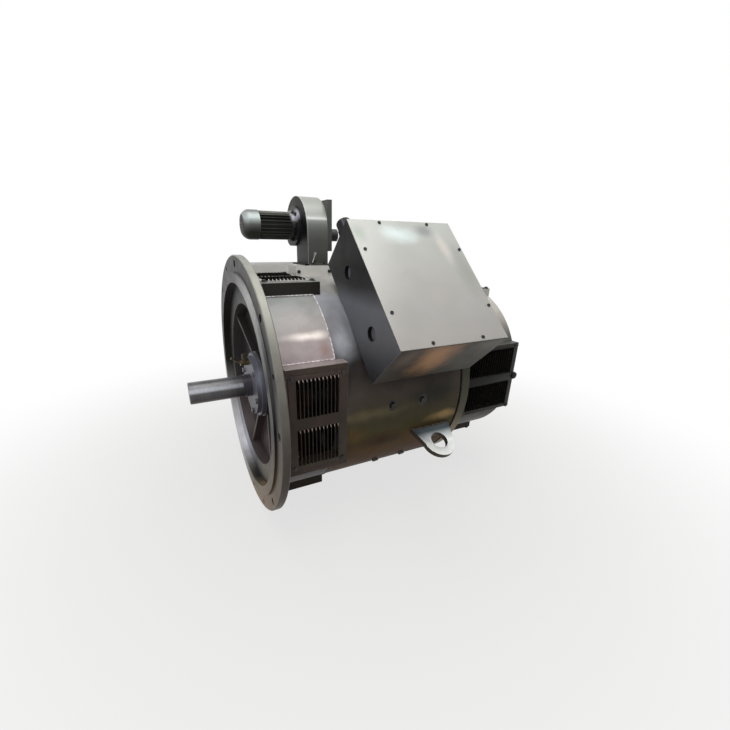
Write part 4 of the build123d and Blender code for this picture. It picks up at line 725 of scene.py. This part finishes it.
class Paintshop:
    """Builds each finish once and gives it to nodes and pieces."""

    def __init__(self) -> None:
        """Starts with no finish built."""
        self.built: dict[Coat, bpy.types.Material] = {}

    def coat(self, obj: Obj, *finishes: Coat) -> Obj:
        """Gives an object its finish.

        Args:
            obj: The object.
            finishes: The finish of all its faces, then any that some of them take instead.

        Returns:
            The same object.
        """
        obj.data.materials.clear()
        for finish in finishes:
            if finish not in self.built:
                self.built[finish] = finish.value.material(finish.name.lower())
            obj.data.materials.append(self.built[finish])
        return obj

    def coat_nodes(self) -> None:
        """Gives every node of the frame its finish."""
        bare = set(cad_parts)
        for finish in Coat:
            bare -= set(finish.value.nodes)
            for name in finish.value.nodes:
                self.coat(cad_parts[name], finish)
        log.info("nodes without a finish: %s", sorted(bare))


# The modelling functions below shape meshes with the editor's own tools.
# Every size that is handed to them is in millimetres.

MERGE = 2e-6
SEED = 0.001
SHARP = math.radians(40)
ROUND = 35.0
BEAD_ROUND = 60.0
BEAD_SIDES = 8


def take(*objs: Obj) -> None:
    """Selects these objects alone and makes the first the active one.

    Args:
        objs: The objects.
    """
    bpy.ops.object.select_all(action="DESELECT")
    for obj in objs:
        obj.select_set(True)
    bpy.context.view_layer.objects.active = objs[0]


def named(name: str) -> Obj:
    """Names the active object and puts its place into its mesh.

    Args:
        name: Its name.

    Returns:
        The object.
    """
    obj = bpy.context.object
    obj.name = name
    bpy.ops.object.transform_apply(location=True, rotation=True, scale=True)
    return obj


def remove(*objs: Obj) -> None:
    """Takes objects away."""
    for obj in objs:
        bpy.data.objects.remove(obj)


@contextmanager
def editing(obj: Obj) -> Iterator[None]:
    """Opens an object in edit mode, with its whole mesh selected, and closes it again.

    Args:
        obj: The object.

    Yields:
        Nothing, while the mode is open.
    """
    take(obj)
    bpy.ops.object.mode_set(mode="EDIT")
    bpy.ops.mesh.select_mode(type="VERT")
    bpy.ops.mesh.select_all(action="SELECT")
    yield
    bpy.ops.object.mode_set(mode="OBJECT")


def cube(name: str, low: Point, high: Point) -> Obj:
    """Adds a box between two corners.

    Args:
        name: Name of the object.
        low: Lowest corner.
        high: Highest corner.

    Returns:
        The box.
    """
    middle = [(a + b) / 2 * MM for a, b in zip(low, high)]
    size = [(b - a) * MM for a, b in zip(low, high)]
    bpy.ops.mesh.primitive_cube_add(size=1, location=middle, scale=size)
    return named(name)


def rod(name: str, radius: float, start: Point, end: Point, sides: int = 32) -> Obj:
    """Adds a bar between two points.

    Args:
        name: Name of the object.
        radius: Radius of the bar.
        start: Middle of one end.
        end: Middle of the other end.
        sides: Number of flats round it.

    Returns:
        The bar.
    """
    first, last = Vector(start) * MM, Vector(end) * MM
    turn = (last - first).to_track_quat("Z", "Y").to_euler()
    bpy.ops.mesh.primitive_cylinder_add(vertices=sides, radius=radius * MM, depth=(last - first).length,
                                        location=(first + last) / 2, rotation=turn)
    return named(name)


@contextmanager
def drawing(name: str, corners: Sequence[Point]) -> Iterator[Obj]:
    """Draws a closed line in a new object, and leaves the line selected in edit mode meanwhile.

    Args:
        name: Name of the object.
        corners: Corners of the line, in order.

    Yields:
        The object.
    """
    points = [Vector(corner) * MM for corner in corners]
    bpy.ops.mesh.primitive_plane_add(size=SEED, location=points[0])
    obj = named(name)
    with editing(obj):
        bpy.ops.mesh.merge(type="CENTER")
        for before, after in zip(points, points[1:] + points[:1]):
            bpy.ops.mesh.extrude_region_move(TRANSFORM_OT_translate={"value": after - before})
        bpy.ops.mesh.select_all(action="SELECT")
        bpy.ops.mesh.remove_doubles(threshold=MERGE / 2)
        yield obj


def lathe(name: str, profile: Sequence[Pair], steps: int, line: Pair) -> Obj:
    """Turns a closed profile round a line along X.

    Args:
        name: Name of the object.
        profile: Corners as (x, radius), in order.
        steps: Steps round the line.
        line: Y and Z of the line.

    Returns:
        The turned piece.
    """
    with drawing(name, [(x, line[0], line[1] + radius) for x, radius in profile]) as obj:
        bpy.ops.mesh.spin(steps=steps, angle=math.tau, center=Vector((0, *line)) * MM, axis=(1, 0, 0))
    return seal(obj)


def plate(name: str, outline: Sequence[Pair], thickness: float, place: Matrix) -> Obj:
    """Extrudes a closed outline both ways.

    Args:
        name: Name of the object.
        outline: Corners as (x, y), in order.
        thickness: Thickness along Z.
        place: Where the plate's own frame lies.

    Returns:
        The plate.
    """
    with drawing(name, [(x, y, -thickness / 2) for x, y in outline]) as obj:
        bpy.ops.mesh.edge_face_add()
        bpy.ops.mesh.extrude_region_move(TRANSFORM_OT_translate={"value": (0, 0, thickness * MM)})
    obj.matrix_world = place
    return seal(named(name))


def seal(obj: Obj, angle: float = ROUND) -> Obj:
    """Merges doubles, turns the faces outwards and smooths what is round.

    Args:
        obj: The piece.
        angle: Degrees up to which two faces count as round.

    Returns:
        The same piece.
    """
    with editing(obj):
        bpy.ops.mesh.remove_doubles(threshold=MERGE)
        bpy.ops.mesh.normals_make_consistent(inside=False)
    bpy.ops.object.shade_smooth_by_angle(angle=math.radians(angle))
    return obj


def modify(obj: Obj, kind: str, **settings: object) -> Obj:
    """Adds a modifier and applies it.

    Args:
        obj: The piece.
        kind: The modifier's type.
        settings: Its settings.

    Returns:
        The same piece.
    """
    take(obj)
    made = obj.modifiers.new(kind.lower(), kind)
    for key, value in settings.items():
        setattr(made, key, value)
    bpy.ops.object.modifier_apply(modifier=made.name)
    return obj


def soften(obj: Obj, width: float, segments: int = 2) -> Obj:
    """Rounds every sharp edge by a width, with so many faces across it."""
    return seal(modify(obj, "BEVEL", width=width * MM, segments=segments, limit_method="ANGLE",
                       angle_limit=SHARP, harden_normals=False))


def cut(obj: Obj, tool: Obj) -> Obj:
    """Cuts a tool out of a piece.

    Args:
        obj: The piece.
        tool: The tool, which is used up.

    Returns:
        The same piece.
    """
    modify(obj, "BOOLEAN", operation="DIFFERENCE", solver="EXACT", object=tool)
    remove(tool)
    return obj


def row(obj: Obj, count: int, step: Point) -> Obj:
    """Repeats a mesh in a row at a constant step."""
    return modify(obj, "ARRAY", count=count, use_relative_offset=False, use_constant_offset=True,
                  constant_offset_displace=[value * MM for value in step])


def copy(obj: Obj, name: str, move: Point = (0, 0, 0), turn: float = 0.0, line: Pair = (0.0, 0.0)) -> Obj:
    """Copies a piece with its own mesh.

    Args:
        obj: The piece.
        name: Name of the copy.
        move: How far the copy moves.
        turn: Degrees that it then turns, from the near side upwards.
        line: Y and Z of the line along X that it turns about.

    Returns:
        The copy.
    """
    take(obj)
    bpy.ops.object.duplicate()
    axis = Matrix.Translation(Vector((0, *line)) * MM)
    spin = axis @ Matrix.Rotation(math.radians(-turn), 4, "X") @ axis.inverted()
    bpy.context.object.matrix_world = spin @ Matrix.Translation(Vector(move) * MM)
    return named(name)


def copies(obj: Obj, name: str, places: Sequence[tuple[Point, float]], line: Pair = (0.0, 0.0)) -> Obj:
    """Sets copies of a piece, joins them and takes the piece away.

    Args:
        obj: The piece.
        name: Name of the joined copies.
        places: Move and turn of each copy.
        line: Y and Z of the line along X that they turn about.

    Returns:
        The joined copies.
    """
    made = [copy(obj, obj.name, move, turn, line) for move, turn in places]
    remove(obj)
    return join(name, made)


def bead(name: str, radius: float, path: Sequence[Point]) -> Obj:
    """Lays a bead of weld along a path.

    Args:
        name: Name of the object.
        radius: Radius of the bead.
        path: Points of its middle line.

    Returns:
        The bead, its ends closed.
    """
    runs = []
    for start, end in zip(path, path[1:]):
        run = rod(name, radius, start, end, BEAD_SIDES)
        long = (Vector(end) - Vector(start)).length > 2 * radius
        runs.append(soften(run, radius / 2, 1) if long else run)
    return seal(join(name, runs), BEAD_ROUND)


def join(name: str, objs: Sequence[Obj]) -> Obj:
    """Joins pieces into one object.

    Args:
        name: Its name.
        objs: The pieces.

    Returns:
        The object.
    """
    take(*objs)
    if len(objs) > 1:
        bpy.ops.object.join()
    bpy.context.object.name = name
    return bpy.context.object


def shift(obj: Obj, test: Callable[[Vector], bool], move: Point) -> Obj:
    """Moves the corners that pass a test of their place.

    Args:
        obj: The piece.
        test: Tells from a corner's place, in millimetres, whether it moves.
        move: How far.

    Returns:
        The same piece.
    """
    with editing(obj):
        bpy.ops.mesh.select_all(action="DESELECT")
    for corner in obj.data.vertices:
        corner.select = test(corner.co / MM)
    bpy.ops.object.mode_set(mode="EDIT")
    bpy.ops.transform.translate(value=Vector(move) * MM)
    bpy.ops.object.mode_set(mode="OBJECT")
    return obj


def halve(obj: Obj, normal: Point) -> Obj:
    """Cuts a mesh through the origin.

    Args:
        obj: The piece.
        normal: Direction of the side that is cleared.

    Returns:
        The same piece.
    """
    with editing(obj):
        bpy.ops.mesh.bisect(plane_co=(0, 0, 0), plane_no=normal, clear_outer=True, use_fill=False)
    return obj


@dataclass
class Assembly:
    """A group of pieces that is built and dressed together."""

    shop: Paintshop

    def hand_over(self, obj: Obj, slot: str, *stands_for: str, body: str = "frame") -> None:
        """Lets a finished piece ride and reports it.

        Args:
            obj: The piece.
            slot: Not used.
            stands_for: The nodes that it replaces.
            body: The body that carries it.
        """
        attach(obj, body)
        if stands_for:
            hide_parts(*stands_for)
        log.info("%s: %d faces, on %s", obj.name, len(obj.data.polygons), body)


@dataclass(frozen=True)
class Window:
    """Sizes of a window cover and its louvres, on the near side."""

    plane: float
    start: float
    end: float
    half: float
    first: float
    count: int
    outer: float
    bolts_x: Pair
    bolt_z: float
    pitch: float = 13.4
    inner: float = 20.0
    slot: float = 10.6
    lip: float = 7.2
    rise: float = 6.4
    sheet: float = 3.0

    @property
    def face(self) -> float:
        """Distance of the sheet's face from the shaft's line."""
        return self.plane + self.sheet

    @property
    def middle(self) -> float:
        """Height of the middle of the upper row of louvres."""
        return (self.outer + self.inner) / 2

    def rows(self, obj: Obj) -> Obj:
        """Repeats the first louvre's piece along both rows."""
        return row(row(obj, self.count, (self.pitch, 0, 0)), 2, (0, 0, -2 * self.middle))


SIDES = (0, 90, 180, 270)
DRIVE_WINDOW = Window(418.0, 49.0, 248.0, 166.0, 74.0, 11, 152.0, (62.0, 235.0), 158.0)
BRUSH_WINDOW = Window(357.0, 838.0, 1116.0, 147.0, 851.0, 18, 132.0, (843.0, 1105.0), 141.0)


@dataclass
class WindowCovers(Assembly):
    """The louvred covers of both ends and the two plain ones."""

    edge: float = 0.9
    dome: float = 5.0
    overlap: float = 0.6
    wall: float = 1.1
    band_x: Pair = (842, 1120)
    band_half: float = 17
    band_thick: float = 4
    band_edge: float = 1.0
    eye_x: float = 1118
    eye_radius: float = 15
    eye_rise: float = 8
    eye_edge: float = 2.0

    def hood(self, size: Window) -> Obj:
        """Presses one louvre hood: a quarter of a long dome, open towards the drive end.

        Args:
            size: Sizes of the window.

        Returns:
            The hood of the upper row's first louvre.
        """
        stretch = (size.outer - size.inner) / 2 - self.dome
        radii = (size.slot - size.lip + self.overlap, size.rise, self.dome)
        bpy.ops.mesh.primitive_uv_sphere_add(segments=12, ring_count=6, radius=1, location=(0, 0, 0),
                                             scale=[radius * MM for radius in radii])
        hood = halve(halve(named("hood"), (0, 1, 0)), (-1, 0, 0))
        shift(hood, lambda place: place.z > 0.5, (0, 0, stretch))
        shift(hood, lambda place: place.z < -0.5, (0, 0, -stretch))
        modify(hood, "SOLIDIFY", thickness=self.wall * MM, offset=-1)
        hood.location = Vector((size.first + size.lip, -size.face, size.middle)) * MM
        return named("hood")

    def cover(self, name: str, size: Window, louvred: bool, finish: Coat) -> Obj:
        """Makes one cover on the near side.

        Args:
            name: Name of the piece.
            size: Sizes of the window.
            louvred: Whether it has louvres.
            finish: Finish of the sheet.

        Returns:
            The cover.
        """
        sheet = cube(name, (size.start, -size.face, -size.half), (size.end, -size.plane, size.half))
        self.shop.coat(soften(sheet, self.edge), finish)
        if not louvred:
            return sheet
        tool = cube("tool", (size.first, -size.face - 1, size.inner),
                    (size.first + size.slot, 1 - size.plane, size.outer))
        cut(sheet, size.rows(tool))
        hoods = self.shop.coat(seal(size.rows(self.hood(size)), 50), Coat.LOUVRE)
        return join(name, [sheet, hoods])

    def strap(self, cover: Obj) -> Obj:
        """Adds the band across a brush window, with its eye past the housing's end.

        Args:
            cover: The window's cover.

        Returns:
            The joined piece.
        """
        (start, end), face = self.band_x, BRUSH_WINDOW.face
        band = cube("band", (start, -face - self.band_thick, -self.band_half), (end, -face, self.band_half))
        eye = rod("eye", self.eye_radius, (self.eye_x, -BRUSH_WINDOW.plane, 0),
                  (self.eye_x, -face - self.eye_rise, 0))
        for part, width in ((band, self.band_edge), (eye, self.eye_edge)):
            self.shop.coat(soften(part, width), Coat.BRUSH_WINDOW)
        return join(cover.name, [cover, band, eye])

    def build(self) -> None:
        """Builds all eight covers."""
        near = self.cover("window_cover_near", DRIVE_WINDOW, True, Coat.WINDOW)
        for name, angle in (("top", 90), ("far", 180), ("bottom", 270)):
            self.hand_over(copy(near, f"window_cover_{name}", turn=angle), "window_paint",
                           f"drive_end_cover_{name}")
        self.hand_over(near, "window_paint", "drive_end_cover_near")
        brush = self.strap(self.cover("brush_cover_near", BRUSH_WINDOW, True, Coat.BRUSH_WINDOW))
        far = copy(brush, "brush_cover_far", turn=180)
        self.hand_over(brush, "window_paint", "commutator_end_cover_near")
        self.hand_over(far, "window_paint", "commutator_end_cover_far")
        plain = self.cover("plain", BRUSH_WINDOW, False, Coat.BRUSH_WINDOW)
        pair = copies(plain, "plain_covers", [((0, 0, 0), 90), ((0, 0, 0), 270)])
        self.hand_over(pair, "window_paint", "commutator_end_plain_covers")


@dataclass
class Fasteners(Assembly):
    """Bolts with washers all over the frame, each size as (across flats, head, washer)."""

    chamfer: float = 1.4
    lift: float = 0.001
    rim: float = 0.9
    rim_edge: float = 0.4
    cover_bolt: Point = (13, 4.6, 0.9)
    pole_bolt: Point = (24, 9, 2.6)
    pole_seat: float = 414.2
    main_x: Pair = (439, 572)
    between_x: Pair = (448, 577)

    def bolts(self, name: str, size: Point, places: Sequence[tuple[Point, float]], node: str) -> None:
        """Makes one hexagon bolt head on a washer, sets its copies and hands them over.

        Args:
            name: Name of the piece.
            size: Width across the flats, height of the head and thickness of the washer.
            places: Seat and turn about the shaft of each bolt.
            node: The node that the piece replaces.
        """
        across, head, washer = size
        top = -washer - head
        bolt = rod("bolt", across / math.sqrt(3), (0, 0, 0), (0, top, 0), 6)
        shift(bolt, lambda place: place.y < top / 2, (0, -self.lift, 0))
        soften(bolt, min(self.chamfer, head / 4), 1)
        ring = rod("washer", across * self.rim, (0, 0.2, 0), (0, -washer, 0), 24)
        made = copies(join("bolt", [bolt, soften(ring, self.rim_edge, 1)]), name, places)
        self.hand_over(self.shop.coat(seal(made, 30), Coat.DARK_STEEL), "dark_steel", node)

    def build(self) -> None:
        """Sets the cover bolts and the pole bolts."""
        for name, size, node in (("window_cover_bolts", DRIVE_WINDOW, "drive_end_cover_bolts"),
                                 ("brush_cover_bolts", BRUSH_WINDOW, "commutator_end_cover_bolts")):
            self.bolts(name, self.cover_bolt, [
                ((x, -size.face, z), angle) for angle in SIDES for x in size.bolts_x
                for z in (-size.bolt_z, size.bolt_z)], node)
        rows = [(angle, self.main_x) for angle in SIDES] + [(angle + 45, self.between_x) for angle in SIDES]
        self.bolts("pole_bolt_heads", self.pole_bolt,
                   [((x, -self.pole_seat, 0), angle) for angle, row_x in rows for x in row_x], "pole_bolts")


@dataclass
class TerminalBox(Assembly):
    """The terminal box's cover with its gasket and screws."""

    start: float = 314.0
    end: float = 729.0
    half: float = 246.6
    plane: float = 628.0
    thick: float = 5.0
    gasket: float = 1.2
    inset: float = 2.0
    angle: float = 45.0
    head: float = 5.8
    rise: float = 3.5
    socket: float = 2.9
    sink: float = 0.4
    cover_edge: float = 1.9
    gasket_edge: float = 0.4
    screw_edge: float = 1.1
    screws: tuple[Pair, ...] = (
        (430, 234), (625, 234), (430, -234), (625, -234), (335, 120), (335, -120), (716, 120), (716, -120))

    def build(self) -> None:
        """Builds the cover, the gasket and the screws."""
        seat = self.thick - self.plane - self.gasket
        cover = cube("cover", (self.start, -self.plane, -self.half), (self.end, seat, self.half))
        self.shop.coat(soften(cover, self.cover_edge, 3), Coat.BOX_COVER)
        gasket = cube("gasket", (self.start + self.inset, seat, self.inset - self.half),
                      (self.end - self.inset, self.thick - self.plane, self.half - self.inset))
        self.shop.coat(soften(gasket, self.gasket_edge, 1), Coat.RUBBER)
        made = copies(join("cover", [cover, gasket]), "terminal_cover", [((0, 0, 0), self.angle)])
        self.hand_over(made, "box_paint", "terminal_box_cover")
        screw = rod("screw", self.head, (0, 0, 0), (0, -self.rise, 0), 24)
        soften(screw, self.screw_edge, 3)
        cut(screw, rod("socket", self.socket, (0, 1 - self.rise, 0), (0, -self.rise - 1, 0), 6))
        shift(screw, lambda place: place.y > -0.1, (0, self.sink, 0))
        made = copies(screw, "terminal_cover_screws",
                      [((x, -self.plane, across), self.angle) for x, across in self.screws])
        self.hand_over(self.shop.coat(seal(made), Coat.BLACK_OXIDE), "zinc", "terminal_box_screws")


@dataclass
class LiftingLugs(Assembly):
    """The two lifting lugs, each a flame-cut plate on a weld."""

    x: float = 636.0
    root: float = 417.0
    angle: float = -19.4
    tilt: float = 30.0
    thick: float = 22.0
    half: float = 90.0
    end: float = 67.0
    reach: float = 71.0
    hole: float = 34.0
    sink: float = 12.0
    weld: float = 4.5
    weld_half: int = 88
    weld_step: int = 8
    weld_sink: float = 1.5
    tip_runs: int = 24
    edge: float = 1.4
    flat: float = 0.6

    def build(self) -> None:
        """Builds both lugs and their root welds."""
        arc = [math.pi + math.pi * k / self.tip_runs for k in range(self.tip_runs + 1)]
        outline = [(-self.half, self.sink), (-self.half, 0)]
        outline += [(self.end * math.cos(a), self.end * math.sin(a) - self.reach) for a in arc]
        outline += [(self.half, 0), (self.half, self.sink)]
        tip = math.radians(self.angle)
        root = Vector((self.x, -self.root * math.cos(tip), self.root * math.sin(tip))) * MM
        place = Matrix.Translation(root) @ Matrix.Rotation(math.radians(self.tilt), 4, "X")

        def spot(x: float, y: float, z: float) -> Point:
            """Turns a place on the plate into the shared frame, in millimetres."""
            return tuple((place @ (Vector((x, y, z)) * MM)) / MM)

        lug = plate("lug", outline, self.thick, place)
        cut(lug, rod("hole", self.hole, spot(0, -self.reach, self.thick),
                     spot(0, -self.reach, -self.thick), 48))
        self.shop.coat(soften(lug, self.edge), Coat.LUG, Coat.LUG_EDGE)
        upward = (place.to_3x3() @ Vector((0, 0, 1))).normalized()
        # The rim faces take the painted shade of the lug's rim.
        for face in lug.data.polygons:
            face.material_index = int(abs(face.normal.dot(upward)) < self.flat)
        steps = range(-self.weld_half, self.weld_half + 1, self.weld_step)
        weld = bead("weld", self.weld, [spot(x, -self.weld_sink, self.thick / 2) for x in steps])
        self.shop.coat(weld, Coat.WELD)
        for name, angle in (("far", 180), ("near", 0)):
            self.hand_over(copy(lug, f"lug_plate_{name}", turn=angle), "frame_paint", f"lifting_lug_{name}")
            self.hand_over(copy(weld, f"lug_weld_{name}", turn=angle), "frame_paint")
        remove(lug, weld)


@dataclass
class Welds(Assembly):
    """The weld seams of the drive-end housing."""

    body: float = 417.0
    seam_x: float = 227.0
    start: float = 29.0
    half: float = 188.0
    radius: float = 3.2
    arc_runs: int = 14
    long_runs: int = 12

    def build(self) -> None:
        """Lays the seams round three shoulders and along their window frames."""
        low = math.degrees(math.asin(self.half / self.body))
        turns = [math.radians(low + (90 - 2 * low) * k / self.arc_runs) for k in range(self.arc_runs + 1)]
        arc = [(self.seam_x, -self.body * math.cos(a), self.body * math.sin(a)) for a in turns]
        root = math.sqrt(self.body ** 2 - self.half ** 2)
        length = self.seam_x - self.start
        steps = [self.start + length * k / self.long_runs for k in range(self.long_runs + 1)]
        along = [(x, -root - 1, self.half + 1) for x in steps]
        other = [(x, -self.half - 1, root + 1) for x in steps]
        seam = join("seam", [bead("seam", self.radius, path) for path in (arc, along, other)])
        made = copies(seam, "housing_seams", [((0, 0, 0), angle) for angle in (0, 180, 270)])
        self.hand_over(self.shop.coat(made, Coat.WELD), "frame_paint")


@dataclass
class BlowerMotor(Assembly):
    """The blower's finned motor with its fan cowl."""

    line: Pair = (250.0, 610.0)
    start: float = 153.0
    end: float = 292.0
    flange_x: float = 309.0
    face_x: float = 319.0
    core: float = 47.0
    bridge: float = 50.0
    flange: float = 80.0
    bore: float = 30.0
    bore_x: Pair = (186, 274)
    shaft: float = 9.6
    fin_tip: float = 56.0
    fin_thick: float = 3.4
    fin_draft: float = 0.9
    fin_slant: float = 7.0
    fin_edge: float = 0.5
    fins: int = 24
    ear_tip: float = 60.0
    ear_half: float = 9.0
    ear_edge: float = 2.0
    ears: int = 4
    cowl: tuple[Pair, ...] = (
        (87.5, 0), (87.5, 33), (89, 38.5), (93, 44.6), (99, 50.2), (106.5, 54.8), (114, 57.4), (121, 58),
        (155, 58), (155, 56.5), (121, 56.5), (114.5, 55.9), (107.3, 53.5), (100, 49), (94.3, 43.6),
        (90.4, 37.8), (89, 32.6), (89, 0))
    slots: int = 8
    slot_x: Pair = (86, 90.4)
    slot_y: Pair = (29, 10)
    slot_half: float = 2.5

    def around(self, obj: Obj, count: int) -> Obj:
        """Sets copies of a piece evenly round the motor's line and uses the piece up."""
        return copies(obj, obj.name, [((0, 0, 0), 360 * k / count) for k in range(count)], self.line)

    def build(self) -> None:
        """Builds the finned body and the cowl."""
        y, z = self.line
        body = lathe("stator", [
            (self.start, self.shaft), (self.start, self.core - 1), (self.start + 1, self.core),
            (self.end, self.core), (self.end + 2, self.bridge), (self.flange_x, self.bridge),
            (self.flange_x, self.flange - 1.5), (self.flange_x + 1.5, self.flange),
            (self.face_x, self.flange), (self.face_x, self.shaft), (self.bore_x[1], self.shaft),
            (self.bore_x[1], self.bore), (self.bore_x[0], self.bore), (self.bore_x[0], self.shaft),
        ], 64, self.line)
        fin = cube("fin", (self.start + 1, y - self.fin_tip, z - self.fin_thick / 2),
                   (self.end, y - self.core + 1.5, z + self.fin_thick / 2))
        tip = y - self.bridge
        shift(fin, lambda place: place.y < tip and place.z > z, (0, 0, -self.fin_draft))
        shift(fin, lambda place: place.y < tip and place.z < z, (0, 0, self.fin_draft))
        shift(fin, lambda place: place.y < tip and place.x > self.start + 2, (-self.fin_slant, 0, 0))
        soften(fin, self.fin_edge, 1)
        ear = cube("ear", (self.end, y - self.ear_tip, z - self.ear_half),
                   (self.flange_x + 1, y - self.bridge + 4, z + self.ear_half))
        parts = [body, self.around(fin, self.fins), self.around(soften(ear, self.ear_edge), self.ears)]
        self.hand_over(self.shop.coat(join("blower_motor_body", parts), Coat.BLOWER_MOTOR), "blower_grey",
                       "blower_motor_frame")
        cowl = lathe("cowl", self.cowl, 64, self.line)
        (x_low, x_high), (outer, inner) = self.slot_x, self.slot_y
        slot = cube("slot", (x_low, y - outer, z - self.slot_half),
                    (x_high, y - inner, z + self.slot_half))
        cut(cowl, self.around(slot, self.slots))
        self.hand_over(self.shop.coat(seal(cowl, 30), Coat.COWL), "blower_grey", "blower_fan_cowl")


@dataclass
class BlowerLatch(Assembly):
    """The small latch that holds the volute's neck on the duct, with ends from its foot."""

    x: float = 346.0
    face_y: float = 101.0
    duct_z: float = 455.0
    strike: tuple[Point, Point] = ((0, -2.5, 23), (13, 0.3, 52))
    hook: tuple[Point, Point] = ((8, -4, 48), (-8, -6, 8))
    stud: tuple[Point, Point] = ((-9, -6, -0.3), (-9, -6, 10))
    hook_radius: float = 3.0
    stud_radius: float = 5.5

    def spots(self, ends: tuple[Point, Point]) -> list[Point]:
        """Moves two ends from the foot of the latch into the shared frame."""
        return [(self.x + x, self.face_y + y, self.duct_z + z) for x, y, z in ends]

    def build(self) -> None:
        """Builds the strike plate with its hook, and the stud on the duct."""
        strike = soften(cube("strike", *self.spots(self.strike)), 1.2)
        hook = soften(rod("hook", self.hook_radius, *self.spots(self.hook), 16), 1.0)
        latch = self.shop.coat(join("blower_latch", [strike, hook]), Coat.STEEL)
        self.hand_over(latch, "bright_steel")
        stud = soften(rod("latch_stud", self.stud_radius, *self.spots(self.stud), 24), 1.5)
        self.hand_over(self.shop.coat(stud, Coat.BLACK_OXIDE), "dark_steel")


@dataclass
class Studio:
    """The camera, the floor and the soft lights."""

    eye: Point = (-0.2616, -1.4283, 0.5473)
    yaw: float = 26.81
    pitch: float = 20.99
    roll: float = -0.93
    lens: float = 18.232
    sensor: float = 36.0
    shift: Pair = (0.0251, 0.0263)
    sight: Pair = (0.01, 100.0)
    floor: float = -0.5005
    reach: float = 40.0
    middle: float = 0.45
    shade: float = 0.72
    fade: Pair = (0.6, 2.4)
    floor_tone: Tone = (160, 158, 154)
    world_light: float = 0.35
    lamps: tuple[tuple[str, Point, Point, float, float], ...] = (
        ("overhead", (0.2, -0.6, 3.4), (0.4, 0.0, 0.0), 2.6, 100.0),
        ("left_front", (-2.6, -2.2, 1.6), (0.2, 0.0, 0.1), 1.6, 30.0))

    def hang(self, name: str, data: bpy.types.Camera | bpy.types.Light, place: Matrix) -> Obj:
        """Puts a camera or a lamp in its place.

        Args:
            name: Its name.
            data: Its settings.
            place: Its place and turn.

        Returns:
            The object.
        """
        holder = bpy.data.objects.new(name, data)
        bpy.context.scene.collection.objects.link(holder)
        holder.matrix_world = place
        return holder

    def camera(self) -> None:
        """Places the camera at the picture's viewing angle."""
        data = bpy.data.cameras.new("camera")
        data.sensor_width = self.sensor
        data.lens = self.lens
        data.shift_x, data.shift_y = self.shift
        data.clip_start, data.clip_end = self.sight
        place = Matrix.Translation(self.eye)
        for angle, axis in ((-self.yaw, "Z"), (90 - self.pitch, "X"), (-self.roll, "Z")):
            place = place @ Matrix.Rotation(math.radians(angle), 4, axis)
        bpy.context.scene.camera = self.hang("camera", data, place)

    def ground(self) -> None:
        """Lays the pale floor, darker for the light that it throws back at the motor."""
        place = (self.middle, 0, self.floor)
        bpy.ops.mesh.primitive_plane_add(size=self.reach, location=place)
        floor = named("floor")
        g = material_graph("floor")
        away = g.apart(place, (1.0, 1.0, 1.0))
        share = g.seen() * (away.span(*self.fade) * (1 - self.shade) + self.shade)
        matt = g.node("ShaderNodeBsdfDiffuse", {}, {"Color": (*linear(self.floor_tone), 1)})
        white = g.node("ShaderNodeEmission", {}, {"Color": WHITE, "Strength": 1.0})
        floor.data.materials.append(g.end(g.node("ShaderNodeMixShader", {}, {0: share, 1: matt, 2: white})))

    def lamp(self, name: str, place: Point, target: Point, size: float, power: float) -> None:
        """Hangs one square area lamp.

        Args:
            name: Its name.
            place: Where it hangs.
            target: Where it points.
            size: Side of the square in metres.
            power: Power in watts.
        """
        data = bpy.data.lights.new(name, "AREA")
        data.size = size
        data.energy = power
        turn = (Vector(target) - Vector(place)).to_track_quat("-Z", "Y").to_matrix().to_4x4()
        self.hang(name, data, Matrix.Translation(place) @ turn)

    def lights(self) -> None:
        """Hangs the lamps and sets the world."""
        for lamp in self.lamps:
            self.lamp(*lamp)
        world = bpy.data.worlds.new("studio")
        bpy.context.scene.world = world
        g = Graph(world)
        soft = g.node("ShaderNodeBackground", {}, {"Strength": self.world_light})
        white = g.node("ShaderNodeBackground", {}, {"Color": WHITE})
        g.end(g.node("ShaderNodeMixShader", {}, {0: g.seen(), 1: soft, 2: white}), "ShaderNodeOutputWorld")

    def build(self) -> None:
        """Makes the whole studio."""
        self.camera()
        self.ground()
        self.lights()
        bpy.context.scene.view_settings.view_transform = "Standard"


def main() -> None:
    """Builds and dresses the motor, piece by piece."""
    logging.basicConfig(level=logging.INFO)
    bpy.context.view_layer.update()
    Studio().build()
    shop = Paintshop()
    shop.coat_nodes()
    for group in (WindowCovers, Fasteners, TerminalBox, LiftingLugs, Welds, BlowerMotor, BlowerLatch):
        group(shop).build()


if __name__ == "__main__":
    main()
